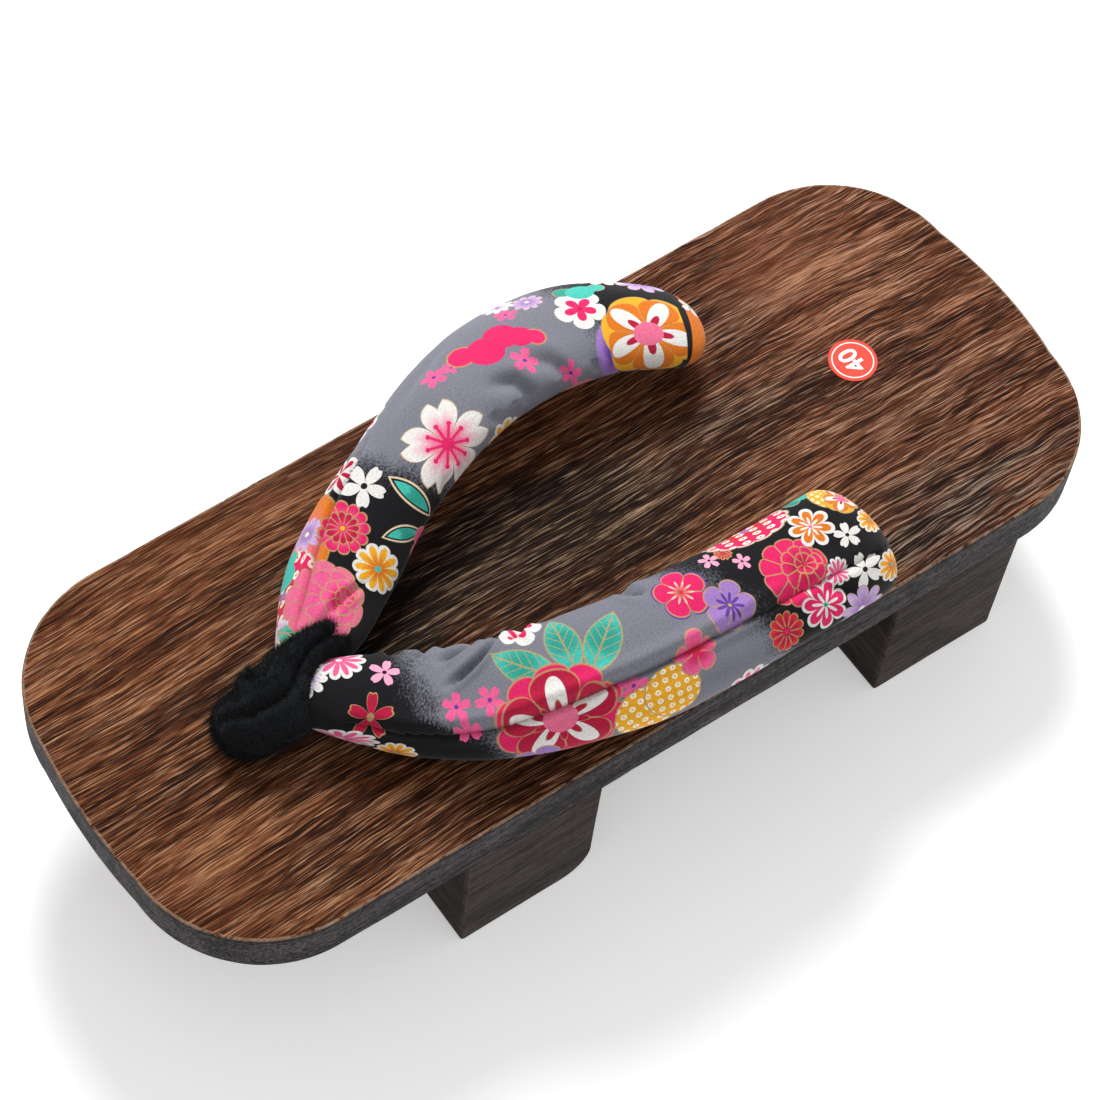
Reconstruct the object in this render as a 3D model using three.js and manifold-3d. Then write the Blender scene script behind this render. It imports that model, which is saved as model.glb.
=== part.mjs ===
// A geta sandal: a flat wooden board on two cross teeth, with a padded V strap and a toe thong.
// Millimetres, +Z up, +Y towards the toe, origin on the floor under the middle of the board.
import * as THREE from 'three';
import { mergeVertices } from 'three/addons/utils/BufferGeometryUtils.js';
import Module from 'manifold-3d';

const wasm = await Module();
wasm.setup();

// Driving dimensions
const BOARD_LENGTH = 255;
const BOARD_TOP = 52.8;
const BOARD_UNDERSIDE = 39;
const HEEL_HALF_WIDTH = 51.9;
const WAIST_HALF_WIDTH = 51;
const TOE_HALF_WIDTH = 50.2;
const HEEL_CORNER = 31;
const TOE_CORNER = 31.5;
const TOE_BOW = 1.2;
const HEEL_BOW = 2;
const ARRIS = 0.6;
const TOE_RISE = 2.5;
const TOE_RISE_START = 60;
const GAP = 0.3;

const FRONT_TOOTH = { front: 61.5, rear: 26, rearRadius: 8 };
const REAR_TOOTH = { front: -58, rear: -93.5, rearRadius: 0 };

const TOE_HOLE = { x: 0, y: 88, radius: 5.3 };
const HEEL_HOLE = { x: 33, y: -49, radius: 4.6 };
const CORD_PLAY = 0.8;
const KNOT_RADIUS = 7.2;
const KNOT_HEIGHT = 9;

const STRAP_STEPS = 40;
const STRAP_SIDES = 22;
const THONG_STEPS = 22;
const THONG_SIDES = 18;
const HOLE_SIDES = 20;
const KNOT_SIDES = 16;
const KNOT_RINGS = 10;
const OUTLINE_STEPS = 14;
const ARRIS_STEPS = 2;
// Room left beyond a solid so that a cut passes right through it.
const CLEAR = 5;
// How far apart, as a share of a row table, two points are taken to find its direction.
const NUDGE = 0.01;
// The smallest share of a pad's thickness that is left at the tip of a round end.
const TIP_SHARE = 0.14;

// Each strap, front to rear: how far out from the middle, along the board and above its top the
// centre of the pad lies, the pad's half width and half thickness, and its lean outwards in degrees.
const RIGHT_STRAP = [
  { out: 1.5, along: 72.5, above: 7.0, halfWidth: 6.0, halfThick: 5.2, lean: 12 },
  { out: 8, along: 62, above: 7.0, halfWidth: 10.2, halfThick: 6.0, lean: 3 },
  { out: 16, along: 51.5, above: 7.8, halfWidth: 11.9, halfThick: 6.9, lean: 2 },
  { out: 23.5, along: 39, above: 10.0, halfWidth: 12.2, halfThick: 7.6, lean: 10 },
  { out: 30, along: 24.5, above: 13.0, halfWidth: 12.4, halfThick: 8.1, lean: 16 },
  { out: 35.5, along: 9.5, above: 14.5, halfWidth: 13.4, halfThick: 8.4, lean: 17 },
  { out: 39.2, along: -5, above: 13.8, halfWidth: 14.3, halfThick: 8.4, lean: 16 },
  { out: 39.8, along: -18.5, above: 12.6, halfWidth: 14.6, halfThick: 8.1, lean: 14 },
  { out: 37.2, along: -31, above: 12.0, halfWidth: 13.8, halfThick: 7.6, lean: 12 },
  { out: 31.5, along: -42.5, above: 11.0, halfWidth: 13.0, halfThick: 7.2, lean: 16 },
  { out: 25.5, along: -54.5, above: 6.5, halfWidth: 11.8, halfThick: 6.4, lean: 22 },
];
const LEFT_STRAP = [
  { out: 4, along: 76, above: 9.0, halfWidth: 6.4, halfThick: 5.4, lean: 12 },
  { out: 12, along: 65.5, above: 7.9, halfWidth: 10.2, halfThick: 6.2, lean: 3 },
  { out: 20, along: 55.5, above: 7.8, halfWidth: 12.5, halfThick: 6.9, lean: 2 },
  { out: 28.5, along: 43, above: 10.0, halfWidth: 13.4, halfThick: 7.6, lean: 10 },
  { out: 35, along: 29, above: 13.0, halfWidth: 13.9, halfThick: 8.1, lean: 16 },
  { out: 39.2, along: 13.5, above: 14.5, halfWidth: 14.5, halfThick: 8.4, lean: 17 },
  { out: 40.5, along: -2.5, above: 13.8, halfWidth: 14.7, halfThick: 8.4, lean: 16 },
  { out: 40.6, along: -18, above: 12.6, halfWidth: 14.3, halfThick: 8.1, lean: 14 },
  { out: 40.6, along: -32.5, above: 12.0, halfWidth: 14.2, halfThick: 7.6, lean: 12 },
  { out: 40, along: -45, above: 10.5, halfWidth: 14.2, halfThick: 7.2, lean: 14 },
  { out: 38, along: -52.5, above: 6.5, halfWidth: 13.0, halfThick: 6.4, lean: 18 },
];
const STRAP_FRONT_CAP = 0.04;
const STRAP_REAR_CAP = 0.07;

// The toe thong, from the toe hole up and back over the joint of the straps.
const TOE_THONG = [
  { out: -1.6, along: 88.8, above: 0.5, halfWidth: 7.0, halfThick: 6.0, lean: 0 },
  { out: -2.2, along: 88.4, above: 4.5, halfWidth: 7.4, halfThick: 6.0, lean: -4 },
  { out: -3.6, along: 85.2, above: 8.0, halfWidth: 8.8, halfThick: 5.8, lean: -10 },
  { out: -3.8, along: 80, above: 10.4, halfWidth: 9.0, halfThick: 5.4, lean: -18 },
  { out: -0.4, along: 75, above: 11.4, halfWidth: 6.2, halfThick: 4.8, lean: -24 },
  { out: 1.6, along: 69.5, above: 11.6, halfWidth: 4.5, halfThick: 4.3, lean: -14 },
  { out: 2.2, along: 65, above: 10.4, halfWidth: 4.0, halfThick: 4.0, lean: -6 },
  { out: 2.4, along: 62, above: 7.6, halfWidth: 3.7, halfThick: 3.8, lean: 0 },
];
const THONG_CAP = 0.06;

// Solids

function toManifold(geometry) {
  const bare = geometry.clone();
  bare.deleteAttribute('normal');
  bare.deleteAttribute('uv');
  const merged = mergeVertices(bare, 1e-4);
  const vertProperties = Float32Array.from(merged.attributes.position.array);
  const triVerts = Uint32Array.from(merged.index.array);
  return new wasm.Manifold(new wasm.Mesh({ numProp: 3, vertProperties, triVerts }));
}

function toGeometry(solid) {
  const mesh = solid.getMesh();
  const geometry = new THREE.BufferGeometry();
  geometry.setAttribute('position', new THREE.BufferAttribute(Float32Array.from(mesh.vertProperties), 3));
  geometry.setIndex(new THREE.BufferAttribute(Uint32Array.from(mesh.triVerts), 1));
  geometry.computeVertexNormals();
  return geometry;
}

function post(x, y, low, high, radius) {
  const cylinder = new THREE.CylinderGeometry(radius, radius, high - low, HOLE_SIDES);
  cylinder.rotateX(Math.PI / 2);
  cylinder.translate(x, y, (low + high) / 2);
  return toManifold(cylinder);
}

// Board and teeth

function boardOutline() {
  const half = BOARD_LENGTH / 2;
  const toeFlat = TOE_HALF_WIDTH - TOE_CORNER;
  const heelFlat = HEEL_HALF_WIDTH - HEEL_CORNER;
  const toeEnd = half - TOE_BOW;
  const heelEnd = -half + HEEL_BOW;
  const toeSide = toeEnd - TOE_CORNER;
  const heelSide = heelEnd + HEEL_CORNER;
  const waist = 2 * WAIST_HALF_WIDTH - (HEEL_HALF_WIDTH + TOE_HALF_WIDTH) / 2;
  const middle = (toeSide + heelSide) / 2;
  const outline = new THREE.Shape();
  outline.moveTo(HEEL_HALF_WIDTH, heelSide);
  outline.quadraticCurveTo(waist, middle, TOE_HALF_WIDTH, toeSide);
  outline.absarc(toeFlat, toeSide, TOE_CORNER, 0, Math.PI / 2, false);
  outline.quadraticCurveTo(0, half + TOE_BOW, -toeFlat, toeEnd);
  outline.absarc(-toeFlat, toeSide, TOE_CORNER, Math.PI / 2, Math.PI, false);
  outline.quadraticCurveTo(-waist, middle, -HEEL_HALF_WIDTH, heelSide);
  outline.absarc(-heelFlat, heelSide, HEEL_CORNER, Math.PI, 1.5 * Math.PI, false);
  outline.quadraticCurveTo(0, -half - HEEL_BOW, heelFlat, heelEnd);
  outline.absarc(heelFlat, heelSide, HEEL_CORNER, -Math.PI / 2, 0, false);
  return outline;
}

// A solid that is the same across the whole width of the sandal, from its side view.
function acrossBoard(sideView) {
  const width = 4 * HEEL_HALF_WIDTH;
  const geometry = new THREE.ExtrudeGeometry(sideView, { depth: width, bevelEnabled: false });
  geometry.rotateX(Math.PI / 2);
  geometry.rotateZ(Math.PI / 2);
  geometry.translate(-width / 2, 0, 0);
  return toManifold(geometry);
}

// The underside of the board lifts a little towards the toe.
function underToe() {
  const tip = BOARD_LENGTH / 2 + CLEAR;
  const side = new THREE.Shape();
  side.moveTo(TOE_RISE_START, BOARD_UNDERSIDE - CLEAR);
  side.lineTo(tip, BOARD_UNDERSIDE - CLEAR);
  side.lineTo(tip, BOARD_UNDERSIDE + TOE_RISE);
  side.quadraticCurveTo((TOE_RISE_START + tip) / 2, BOARD_UNDERSIDE, TOE_RISE_START, BOARD_UNDERSIDE);
  side.closePath();
  return acrossBoard(side);
}

function board() {
  const slab = new THREE.ExtrudeGeometry(boardOutline(), {
    depth: BOARD_TOP - BOARD_UNDERSIDE - 2 * ARRIS,
    bevelEnabled: true,
    bevelThickness: ARRIS,
    bevelSize: ARRIS,
    bevelOffset: -ARRIS,
    bevelSegments: ARRIS_STEPS,
    curveSegments: OUTLINE_STEPS,
  });
  slab.translate(0, 0, BOARD_UNDERSIDE + ARRIS);
  let solid = toManifold(slab).subtract(underToe());
  const low = BOARD_UNDERSIDE - CLEAR;
  const high = BOARD_TOP + CLEAR;
  solid = solid.subtract(post(TOE_HOLE.x, TOE_HOLE.y, low, high, TOE_HOLE.radius));
  for (const side of [-1, 1]) {
    solid = solid.subtract(post(side * HEEL_HOLE.x, HEEL_HOLE.y, low, high, HEEL_HOLE.radius));
  }
  return toGeometry(solid);
}

// A tooth is a block cut flush with the sides of the board.
function tooth({ front, rear, rearRadius }) {
  const top = BOARD_UNDERSIDE - GAP;
  const side = new THREE.Shape();
  side.moveTo(front, 0);
  side.lineTo(front, top);
  side.lineTo(rear, top);
  side.lineTo(rear, rearRadius);
  if (rearRadius > 0) {
    side.absarc(rear + rearRadius, rearRadius, rearRadius, Math.PI, 1.5 * Math.PI, false);
  }
  side.closePath();
  const footprint = new THREE.ExtrudeGeometry(boardOutline(), {
    depth: BOARD_TOP + CLEAR,
    bevelEnabled: false,
    curveSegments: OUTLINE_STEPS,
  });
  footprint.translate(0, 0, -CLEAR);
  return toGeometry(toManifold(footprint).intersect(acrossBoard(side)));
}

// Padded pieces

// The value of one column at t, from 0 at the first row to 1 at the last, on a smooth curve.
function columnAt(rows, column, t) {
  const place = Math.min(Math.max(t, 0), 1) * (rows.length - 1);
  const row = Math.min(Math.floor(place), rows.length - 2);
  const u = place - row;
  const value = (i) => rows[Math.min(Math.max(i, 0), rows.length - 1)][column];
  const a = value(row - 1);
  const b = value(row);
  const c = value(row + 1);
  const d = value(row + 2);
  return b + 0.5 * u * (c - a + u * (2 * a - 5 * b + 4 * c - d + u * (3 * (b - c) + d - a)));
}

function centreAt(rows, t) {
  return new THREE.Vector3(
    columnAt(rows, 'out', t), columnAt(rows, 'along', t), BOARD_TOP + columnAt(rows, 'above', t));
}

// A round end: the share of the full section at a distance t inside an end of length cap.
function roundEnd(t, cap) {
  const depth = Math.min(t / cap, 1);
  return Math.max(Math.sqrt(1 - (1 - depth) ** 2), TIP_SHARE);
}

// The place along a pad of one of its rings; the rings stand closer together at the two ends.
function ringPlace(i, steps) {
  const even = i / steps;
  const eased = 0.5 - 0.5 * Math.cos(Math.PI * even);
  return 0.5 - 0.5 * Math.cos(Math.PI * (0.25 * even + 0.75 * eased));
}

// The direction of a pad at t, from its front towards its rear.
function directionAt(rows, t) {
  const before = centreAt(rows, Math.max(t - NUDGE, 0));
  return centreAt(rows, Math.min(t + NUDGE, 1)).sub(before).normalize();
}

// The level direction across a pad. Where the thong stands up in its hole this is straight across.
function acrossPad(ahead) {
  const standing = Math.abs(ahead.x) < 0.2 && Math.abs(ahead.z) > 0.5;
  if (standing) {
    return new THREE.Vector3(-1, 0, 0);
  }
  return new THREE.Vector3().crossVectors(ahead, new THREE.Vector3(0, 0, 1)).normalize();
}

// A padded tube lofted through the rows. It lies flat where it meets the board.
function paddedTube(rows, { side = 1, steps, sides, frontCap, rearCap, swell = 0 }) {
  const positions = [];
  const index = [];
  const floor = BOARD_TOP + GAP - swell;
  for (let i = 0; i <= steps; i++) {
    const t = ringPlace(i, steps);
    const centre = centreAt(rows, t);
    const ahead = directionAt(rows, t);
    const inward = acrossPad(ahead);
    const upright = new THREE.Vector3().crossVectors(inward, ahead);
    const lean = THREE.MathUtils.degToRad(columnAt(rows, 'lean', t));
    const thick = upright.multiplyScalar(Math.cos(lean)).addScaledVector(inward, -Math.sin(lean));
    const wide = new THREE.Vector3().crossVectors(ahead, thick);
    const share = roundEnd(t, frontCap) * roundEnd(1 - t, rearCap);
    const halfWidth = columnAt(rows, 'halfWidth', t) * share + swell;
    const halfThick = columnAt(rows, 'halfThick', t) * share + swell;
    for (let j = 0; j < sides; j++) {
      const angle = 2 * Math.PI * j / sides;
      const point = centre.clone();
      point.addScaledVector(thick, halfThick * Math.cos(angle));
      point.addScaledVector(wide, halfWidth * Math.sin(angle));
      positions.push(side * point.x, point.y, Math.max(point.z, floor));
    }
  }
  const ring = (i, j) => i * sides + (j % sides);
  const addTriangle = (a, b, c) => index.push(...(side > 0 ? [a, b, c] : [a, c, b]));
  for (let i = 0; i < steps; i++) {
    for (let j = 0; j < sides; j++) {
      addTriangle(ring(i, j), ring(i, j + 1), ring(i + 1, j + 1));
      addTriangle(ring(i, j), ring(i + 1, j + 1), ring(i + 1, j));
    }
  }
  for (let j = 1; j < sides - 1; j++) {
    addTriangle(ring(0, 0), ring(0, j + 1), ring(0, j));
    addTriangle(ring(steps, 0), ring(steps, j), ring(steps, j + 1));
  }
  const geometry = new THREE.BufferGeometry();
  geometry.setAttribute('position', new THREE.Float32BufferAttribute(positions, 3));
  geometry.setIndex(index);
  return toManifold(geometry);
}

// The cord that carries a pad down through its hole, and the plain knot that holds it below.
function cordAndKnot(hole, x) {
  const knotMiddle = BOARD_UNDERSIDE - GAP - KNOT_HEIGHT / 2;
  const knot = new THREE.SphereGeometry(KNOT_RADIUS, KNOT_SIDES, KNOT_RINGS);
  knot.rotateX(Math.PI / 2);
  knot.scale(1, 1, KNOT_HEIGHT / 2 / KNOT_RADIUS);
  knot.translate(x, hole.y, knotMiddle);
  const cord = post(x, hole.y, knotMiddle, BOARD_TOP + CLEAR, hole.radius - CORD_PLAY);
  return cord.add(toManifold(knot));
}

// Both pads, joined where they cross; swell makes them larger all round.
function strapPads(swell) {
  const options = {
    steps: STRAP_STEPS, sides: STRAP_SIDES, frontCap: STRAP_FRONT_CAP, rearCap: STRAP_REAR_CAP, swell };
  const right = paddedTube(RIGHT_STRAP, { ...options, side: 1 });
  const left = paddedTube(LEFT_STRAP, { ...options, side: -1 });
  return right.add(left);
}

function straps() {
  const pads = strapPads(0);
  const rightCord = cordAndKnot(HEEL_HOLE, HEEL_HOLE.x);
  const leftCord = cordAndKnot(HEEL_HOLE, -HEEL_HOLE.x);
  return toGeometry(pads.add(rightCord).add(leftCord));
}

function toeThong() {
  const pad = paddedTube(TOE_THONG, {
    steps: THONG_STEPS, sides: THONG_SIDES, frontCap: THONG_CAP, rearCap: THONG_CAP });
  const thong = pad.subtract(strapPads(GAP));
  return toGeometry(thong.add(cordAndKnot(TOE_HOLE, TOE_HOLE.x)));
}

// Materials and the finished sandal

function material(color, roughness) {
  return new THREE.MeshStandardMaterial({ color, roughness, metalness: 0 });
}

function piece(name, geometry, finish) {
  const mesh = new THREE.Mesh(geometry, finish);
  mesh.name = name;
  return mesh;
}

const scorchedWood = material(0x54392e, 0.75);
const printedCotton = material(0x7d7b86, 0.85);
const blackPile = material(0x131417, 1);

const sandal = new THREE.Group();
sandal.add(
  piece('board', board(), scorchedWood),
  piece('front_tooth', tooth(FRONT_TOOTH), scorchedWood),
  piece('rear_tooth', tooth(REAR_TOOTH), scorchedWood),
  piece('straps', straps(), printedCotton),
  piece('toe_thong', toeThong(), blackPile),
);

export default sandal;
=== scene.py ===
import math

import bmesh
import bpy
import numpy as np
from mathutils import Matrix, Vector, noise


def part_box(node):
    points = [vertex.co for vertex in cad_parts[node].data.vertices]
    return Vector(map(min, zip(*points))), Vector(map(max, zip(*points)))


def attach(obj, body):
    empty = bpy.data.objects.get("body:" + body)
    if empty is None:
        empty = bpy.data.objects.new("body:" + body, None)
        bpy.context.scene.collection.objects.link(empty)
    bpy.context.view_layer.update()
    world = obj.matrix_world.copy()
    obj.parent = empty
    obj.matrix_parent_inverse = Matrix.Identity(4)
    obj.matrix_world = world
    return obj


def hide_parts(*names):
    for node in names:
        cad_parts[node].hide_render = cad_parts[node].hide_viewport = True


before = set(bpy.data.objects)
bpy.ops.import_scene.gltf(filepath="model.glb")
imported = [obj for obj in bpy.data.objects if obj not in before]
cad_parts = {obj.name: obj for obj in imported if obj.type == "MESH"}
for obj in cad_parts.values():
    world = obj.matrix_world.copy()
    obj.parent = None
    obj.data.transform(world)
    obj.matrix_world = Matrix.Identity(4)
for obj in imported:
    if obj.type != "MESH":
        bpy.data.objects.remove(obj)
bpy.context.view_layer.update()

# Sizes are in metres. MM turns the maker's millimetres into metres.
MM = 0.001

board_low, board_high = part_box("board")
BOARD_TOP = board_high.z
BOARD_UNDERSIDE = board_low.z
BOARD_HALF_LENGTH = board_high.y
HEEL_HALF_WIDTH = board_high.x
WAIST_HALF_WIDTH = 51.0 * MM
TOE_HALF_WIDTH = 50.2 * MM
HEEL_CORNER = 31.0 * MM
TOE_CORNER = 31.5 * MM
HEEL_BOW = 2.0 * MM
TOE_BOW = 1.2 * MM
TOE_RISE = 2.5 * MM
TOE_RISE_START = 60.0 * MM
GAP = 0.3 * MM
ARRIS_RADIUS = 0.5 * MM
SHARP_ANGLE = math.radians(50)

TOE_HOLE = (0.0, 88.0 * MM, 5.3 * MM)
HEEL_HOLES = ((33.0 * MM, -49.0 * MM, 4.6 * MM), (-33.0 * MM, -49.0 * MM, 4.6 * MM))

# The sections of each pad, front to rear: how far out from the middle, along the board and above its
# top the centre lies, the half width and half thickness in millimetres, and the outward lean in degrees.
PAD_COLUMNS = ("out", "along", "above", "half_width", "half_thick", "lean")
RIGHT_STRAP = (
    (1.5, 72.5, 7.0, 6.0, 5.2, 12),
    (8, 62, 7.0, 10.2, 6.0, 3),
    (16, 51.5, 7.8, 11.9, 6.9, 2),
    (23.5, 39, 10.0, 12.2, 7.6, 10),
    (30, 24.5, 13.0, 12.4, 8.1, 16),
    (35.5, 9.5, 14.5, 13.4, 8.4, 17),
    (39.2, -5, 13.8, 14.3, 8.4, 16),
    (39.8, -18.5, 12.6, 14.6, 8.1, 14),
    (37.2, -31, 12.0, 13.8, 7.6, 12),
    (31.5, -42.5, 11.0, 13.0, 7.2, 16),
    (25.5, -54.5, 6.5, 11.8, 6.4, 22),
)
LEFT_STRAP = (
    (4, 76, 9.0, 6.4, 5.4, 12),
    (12, 65.5, 7.9, 10.2, 6.2, 3),
    (20, 55.5, 7.8, 12.5, 6.9, 2),
    (28.5, 43, 10.0, 13.4, 7.6, 10),
    (35, 29, 13.0, 13.9, 8.1, 16),
    (39.2, 13.5, 14.5, 14.5, 8.4, 17),
    (40.5, -2.5, 13.8, 14.7, 8.4, 16),
    (40.6, -18, 12.6, 14.3, 8.1, 14),
    (40.6, -32.5, 12.0, 14.2, 7.6, 12),
    (40, -45, 10.5, 14.2, 7.2, 14),
    (38, -52.5, 6.5, 13.0, 6.4, 18),
)
STRAP_FRONT_CAP = 0.04
STRAP_REAR_CAP = 0.07

# The toe thong has the same columns, from its hole up and back over the joint of the straps.
TOE_THONG = (
    (-1.6, 88.8, 0.5, 7.0, 6.0, 0),
    (-2.2, 88.4, 4.5, 7.4, 6.0, -4),
    (-3.6, 85.2, 8.0, 8.8, 5.8, -10),
    (-3.8, 80, 10.4, 9.0, 5.4, -18),
    (-0.4, 75, 11.4, 6.2, 4.8, -24),
    (1.6, 69.5, 11.6, 4.5, 4.3, -14),
    (2.2, 65, 10.4, 4.0, 4.0, -6),
    (2.4, 62, 7.6, 3.7, 3.8, 0),
)
THONG_CAP = 0.06


# Small tools

def srgb(code):
    """A colour such as "c0183f" as linear red, green and blue with full alpha."""
    parts = [int(code[i:i + 2], 16) / 255 for i in (0, 2, 4)]
    linear = [c / 12.92 if c <= 0.04045 else ((c + 0.055) / 1.055) ** 2.4 for c in parts]
    return (*linear, 1.0)


def add_object(name, data):
    made = bpy.data.objects.new(name, data)
    bpy.context.scene.collection.objects.link(made)
    return made


def add_piece(name, mesh, smooth=True):
    mesh.polygons.foreach_set("use_smooth", [smooth] * len(mesh.polygons))
    return add_object(name, mesh)


def mesh_from(name, points, faces, *finishes):
    mesh = bpy.data.meshes.new(name)
    mesh.from_pydata([tuple(p) for p in points], [], faces)
    mesh.validate()
    mesh.update()
    for finish in finishes:
        mesh.materials.append(finish)
    return mesh


def ring_faces(rings, sides, closed=False):
    """The faces between rings of points that follow each other, with flat ends unless it is closed."""
    faces = []
    for i in range(rings if closed else rings - 1):
        ahead = (i + 1) % rings
        for j in range(sides):
            k = (j + 1) % sides
            faces.append([i * sides + j, i * sides + k, ahead * sides + k, ahead * sides + j])
    if not closed:
        faces += [list(range(sides))[::-1], list(range((rings - 1) * sides, rings * sides))]
    return faces


def outward(mesh):
    work = bmesh.new()
    work.from_mesh(mesh)
    bmesh.ops.recalc_face_normals(work, faces=work.faces)
    work.to_mesh(mesh)
    work.free()


def unit(vectors):
    """Vectors of length 1, from one vector or from rows of them."""
    return vectors / np.linalg.norm(vectors, axis=-1, keepdims=True)


def soft_noise(points, size, seed=0.0):
    """Smooth noise from -1 to 1 at each point, with lumps of the given size."""
    shift = Vector((seed, 2 * seed, -seed))
    return np.array([noise.noise(Vector(p) / size + shift) for p in points])


def two_sided(operation):
    """The same operation on two values with this value first, and with it second."""
    def value_first(self, other):
        return self.nodes.math(operation, self, other)

    def value_second(self, other):
        return self.nodes.math(operation, other, self)

    return value_first, value_second


class Value:
    """The output of a node. Sums and comparisons with it add the nodes that work them out."""

    def __init__(self, nodes, socket):
        self.nodes = nodes
        self.socket = socket

    def __abs__(self):
        return self.nodes.math("ABSOLUTE", self)

    __add__, __radd__ = two_sided("ADD")
    __sub__, __rsub__ = two_sided("SUBTRACT")
    __mul__, __rmul__ = two_sided("MULTIPLY")
    __truediv__, __rtruediv__ = two_sided("DIVIDE")
    __pow__, __rpow__ = two_sided("POWER")
    __lt__, __gt__ = two_sided("LESS_THAN")


class Nodes:
    """Adds nodes to one tree and wires them with short calls. A colour may be given by its code."""

    def __init__(self, tree):
        self.tree = tree

    def add(self, kind, **settings):
        node = self.tree.nodes.new(kind)
        for key, value in settings.items():
            setattr(node, key, value)
        return node

    def put(self, socket, value):
        if isinstance(value, Value):
            self.tree.links.new(value.socket, socket)
        else:
            socket.default_value = srgb(value) if isinstance(value, str) else value

    def feed(self, node, **values):
        """Sets or wires the named inputs of a node. An underscore stands for a space."""
        for key, value in values.items():
            self.put(node.inputs[key.replace("_", " ")], value)

    def outputs(self, node):
        return {socket.name: Value(self, socket) for socket in node.outputs}

    def make(self, kind, *values, output=0, **settings):
        """Adds a node, feeds its inputs in their order and returns one of its outputs."""
        node = self.add(kind, **settings)
        for socket, value in zip(node.inputs, values):
            self.put(socket, value)
        return Value(self, node.outputs[output])

    def math(self, operation, *values, clamp=False):
        return self.make("ShaderNodeMath", *values, operation=operation, use_clamp=clamp)

    def greater(self, first, second):
        return self.math("MAXIMUM", first, second)

    def fraction(self, value):
        return self.math("FRACT", value)

    def vector(self, operation, *values):
        output = "Value" if operation == "LENGTH" else "Vector"
        return self.make("ShaderNodeVectorMath", *values, output=output, operation=operation)

    def split(self, vector):
        node = self.add("ShaderNodeSeparateXYZ")
        self.put(node.inputs[0], vector)
        return [Value(self, socket) for socket in node.outputs]

    def join(self, *parts):
        return self.make("ShaderNodeCombineXYZ", *parts)

    def step(self, value, low, high):
        return self.make("ShaderNodeMapRange", value, low, high, interpolation_type="SMOOTHSTEP")

    def noise(self, place, lumps, detail=2.0, roughness=0.5):
        """Noise from 0 to 1, with so many lumps to the millimetre, the same or one for each axis."""
        if isinstance(lumps, float):
            lumps = (lumps, lumps, lumps)
        node = self.add("ShaderNodeTexNoise")
        place = self.vector("MULTIPLY", place, lumps)
        self.feed(node, Vector=place, Scale=1.0, Detail=detail, Roughness=roughness)
        return Value(self, node.outputs["Fac"])

    def mix(self, share, first, second, blend="MIX"):
        """Mixes two colours. Their sockets share their names with others, so they go by number."""
        node = self.add("ShaderNodeMix", data_type="RGBA", blend_type=blend)
        for index, value in ((0, share), (6, first), (7, second)):
            self.put(node.inputs[index], value)
        return Value(self, node.outputs[2])

    def ramp(self, value, *stops):
        node = self.add("ShaderNodeValToRGB")
        self.put(node.inputs[0], value)
        elements = node.color_ramp.elements
        while len(elements) < len(stops):
            elements.new(0.5)
        for element, (place, code) in zip(elements, stops):
            element.position = place
            element.color = srgb(code)
        return Value(self, node.outputs[0])

    def attribute(self, name):
        return self.outputs(self.add("ShaderNodeAttribute", attribute_name=name))

    def group(self, group, **values):
        node = self.add("ShaderNodeGroup", node_tree=group)
        self.feed(node, **values)
        return self.outputs(node)

    def bump(self, height, strength, distance):
        node = self.add("ShaderNodeBump")
        self.feed(node, Height=height, Strength=strength, Distance=distance)
        return Value(self, node.outputs[0])

    def millimetres(self):
        """The place on the piece in millimetres."""
        place = self.outputs(self.add("ShaderNodeTexCoord"))["Object"]
        return self.vector("MULTIPLY", place, (1 / MM, 1 / MM, 1 / MM))


def new_group(name, inputs, outputs):
    """An empty shader node group, from the kind of each socket: its Nodes, inputs and output node."""
    tree = bpy.data.node_groups.new(name, "ShaderNodeTree")
    for way, sockets in (("INPUT", inputs), ("OUTPUT", outputs)):
        for label, kind in sockets.items():
            tree.interface.new_socket(label, in_out=way, socket_type="NodeSocket" + kind)
    nodes = Nodes(tree)
    return nodes, nodes.outputs(nodes.add("NodeGroupInput")), nodes.add("NodeGroupOutput")


def new_material(name, **settings):
    """A material with a Principled BSDF whose constant values are set on its own sockets."""
    material = bpy.data.materials.new(name)
    material.use_nodes = True
    nodes = Nodes(material.node_tree)
    shader = material.node_tree.nodes["Principled BSDF"]
    nodes.feed(shader, **settings)
    return material, nodes, shader


# Wood

def patch_group():
    """A soft oval patch on the board: Centre and Reach are in millimetres."""
    nodes, given, out = new_group(
        "soft_patch", {"Place": "Vector", "Centre": "Vector", "Reach": "Vector", "Amount": "Float"},
        {"Patch": "Float"})
    away = nodes.vector("DIVIDE", nodes.vector("SUBTRACT", given["Place"], given["Centre"]), given["Reach"])
    near = 1.0 - nodes.step(nodes.vector("LENGTH", away), 0.25, 1.15)
    nodes.feed(out, Patch=near * given["Amount"])
    return nodes.tree


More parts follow.
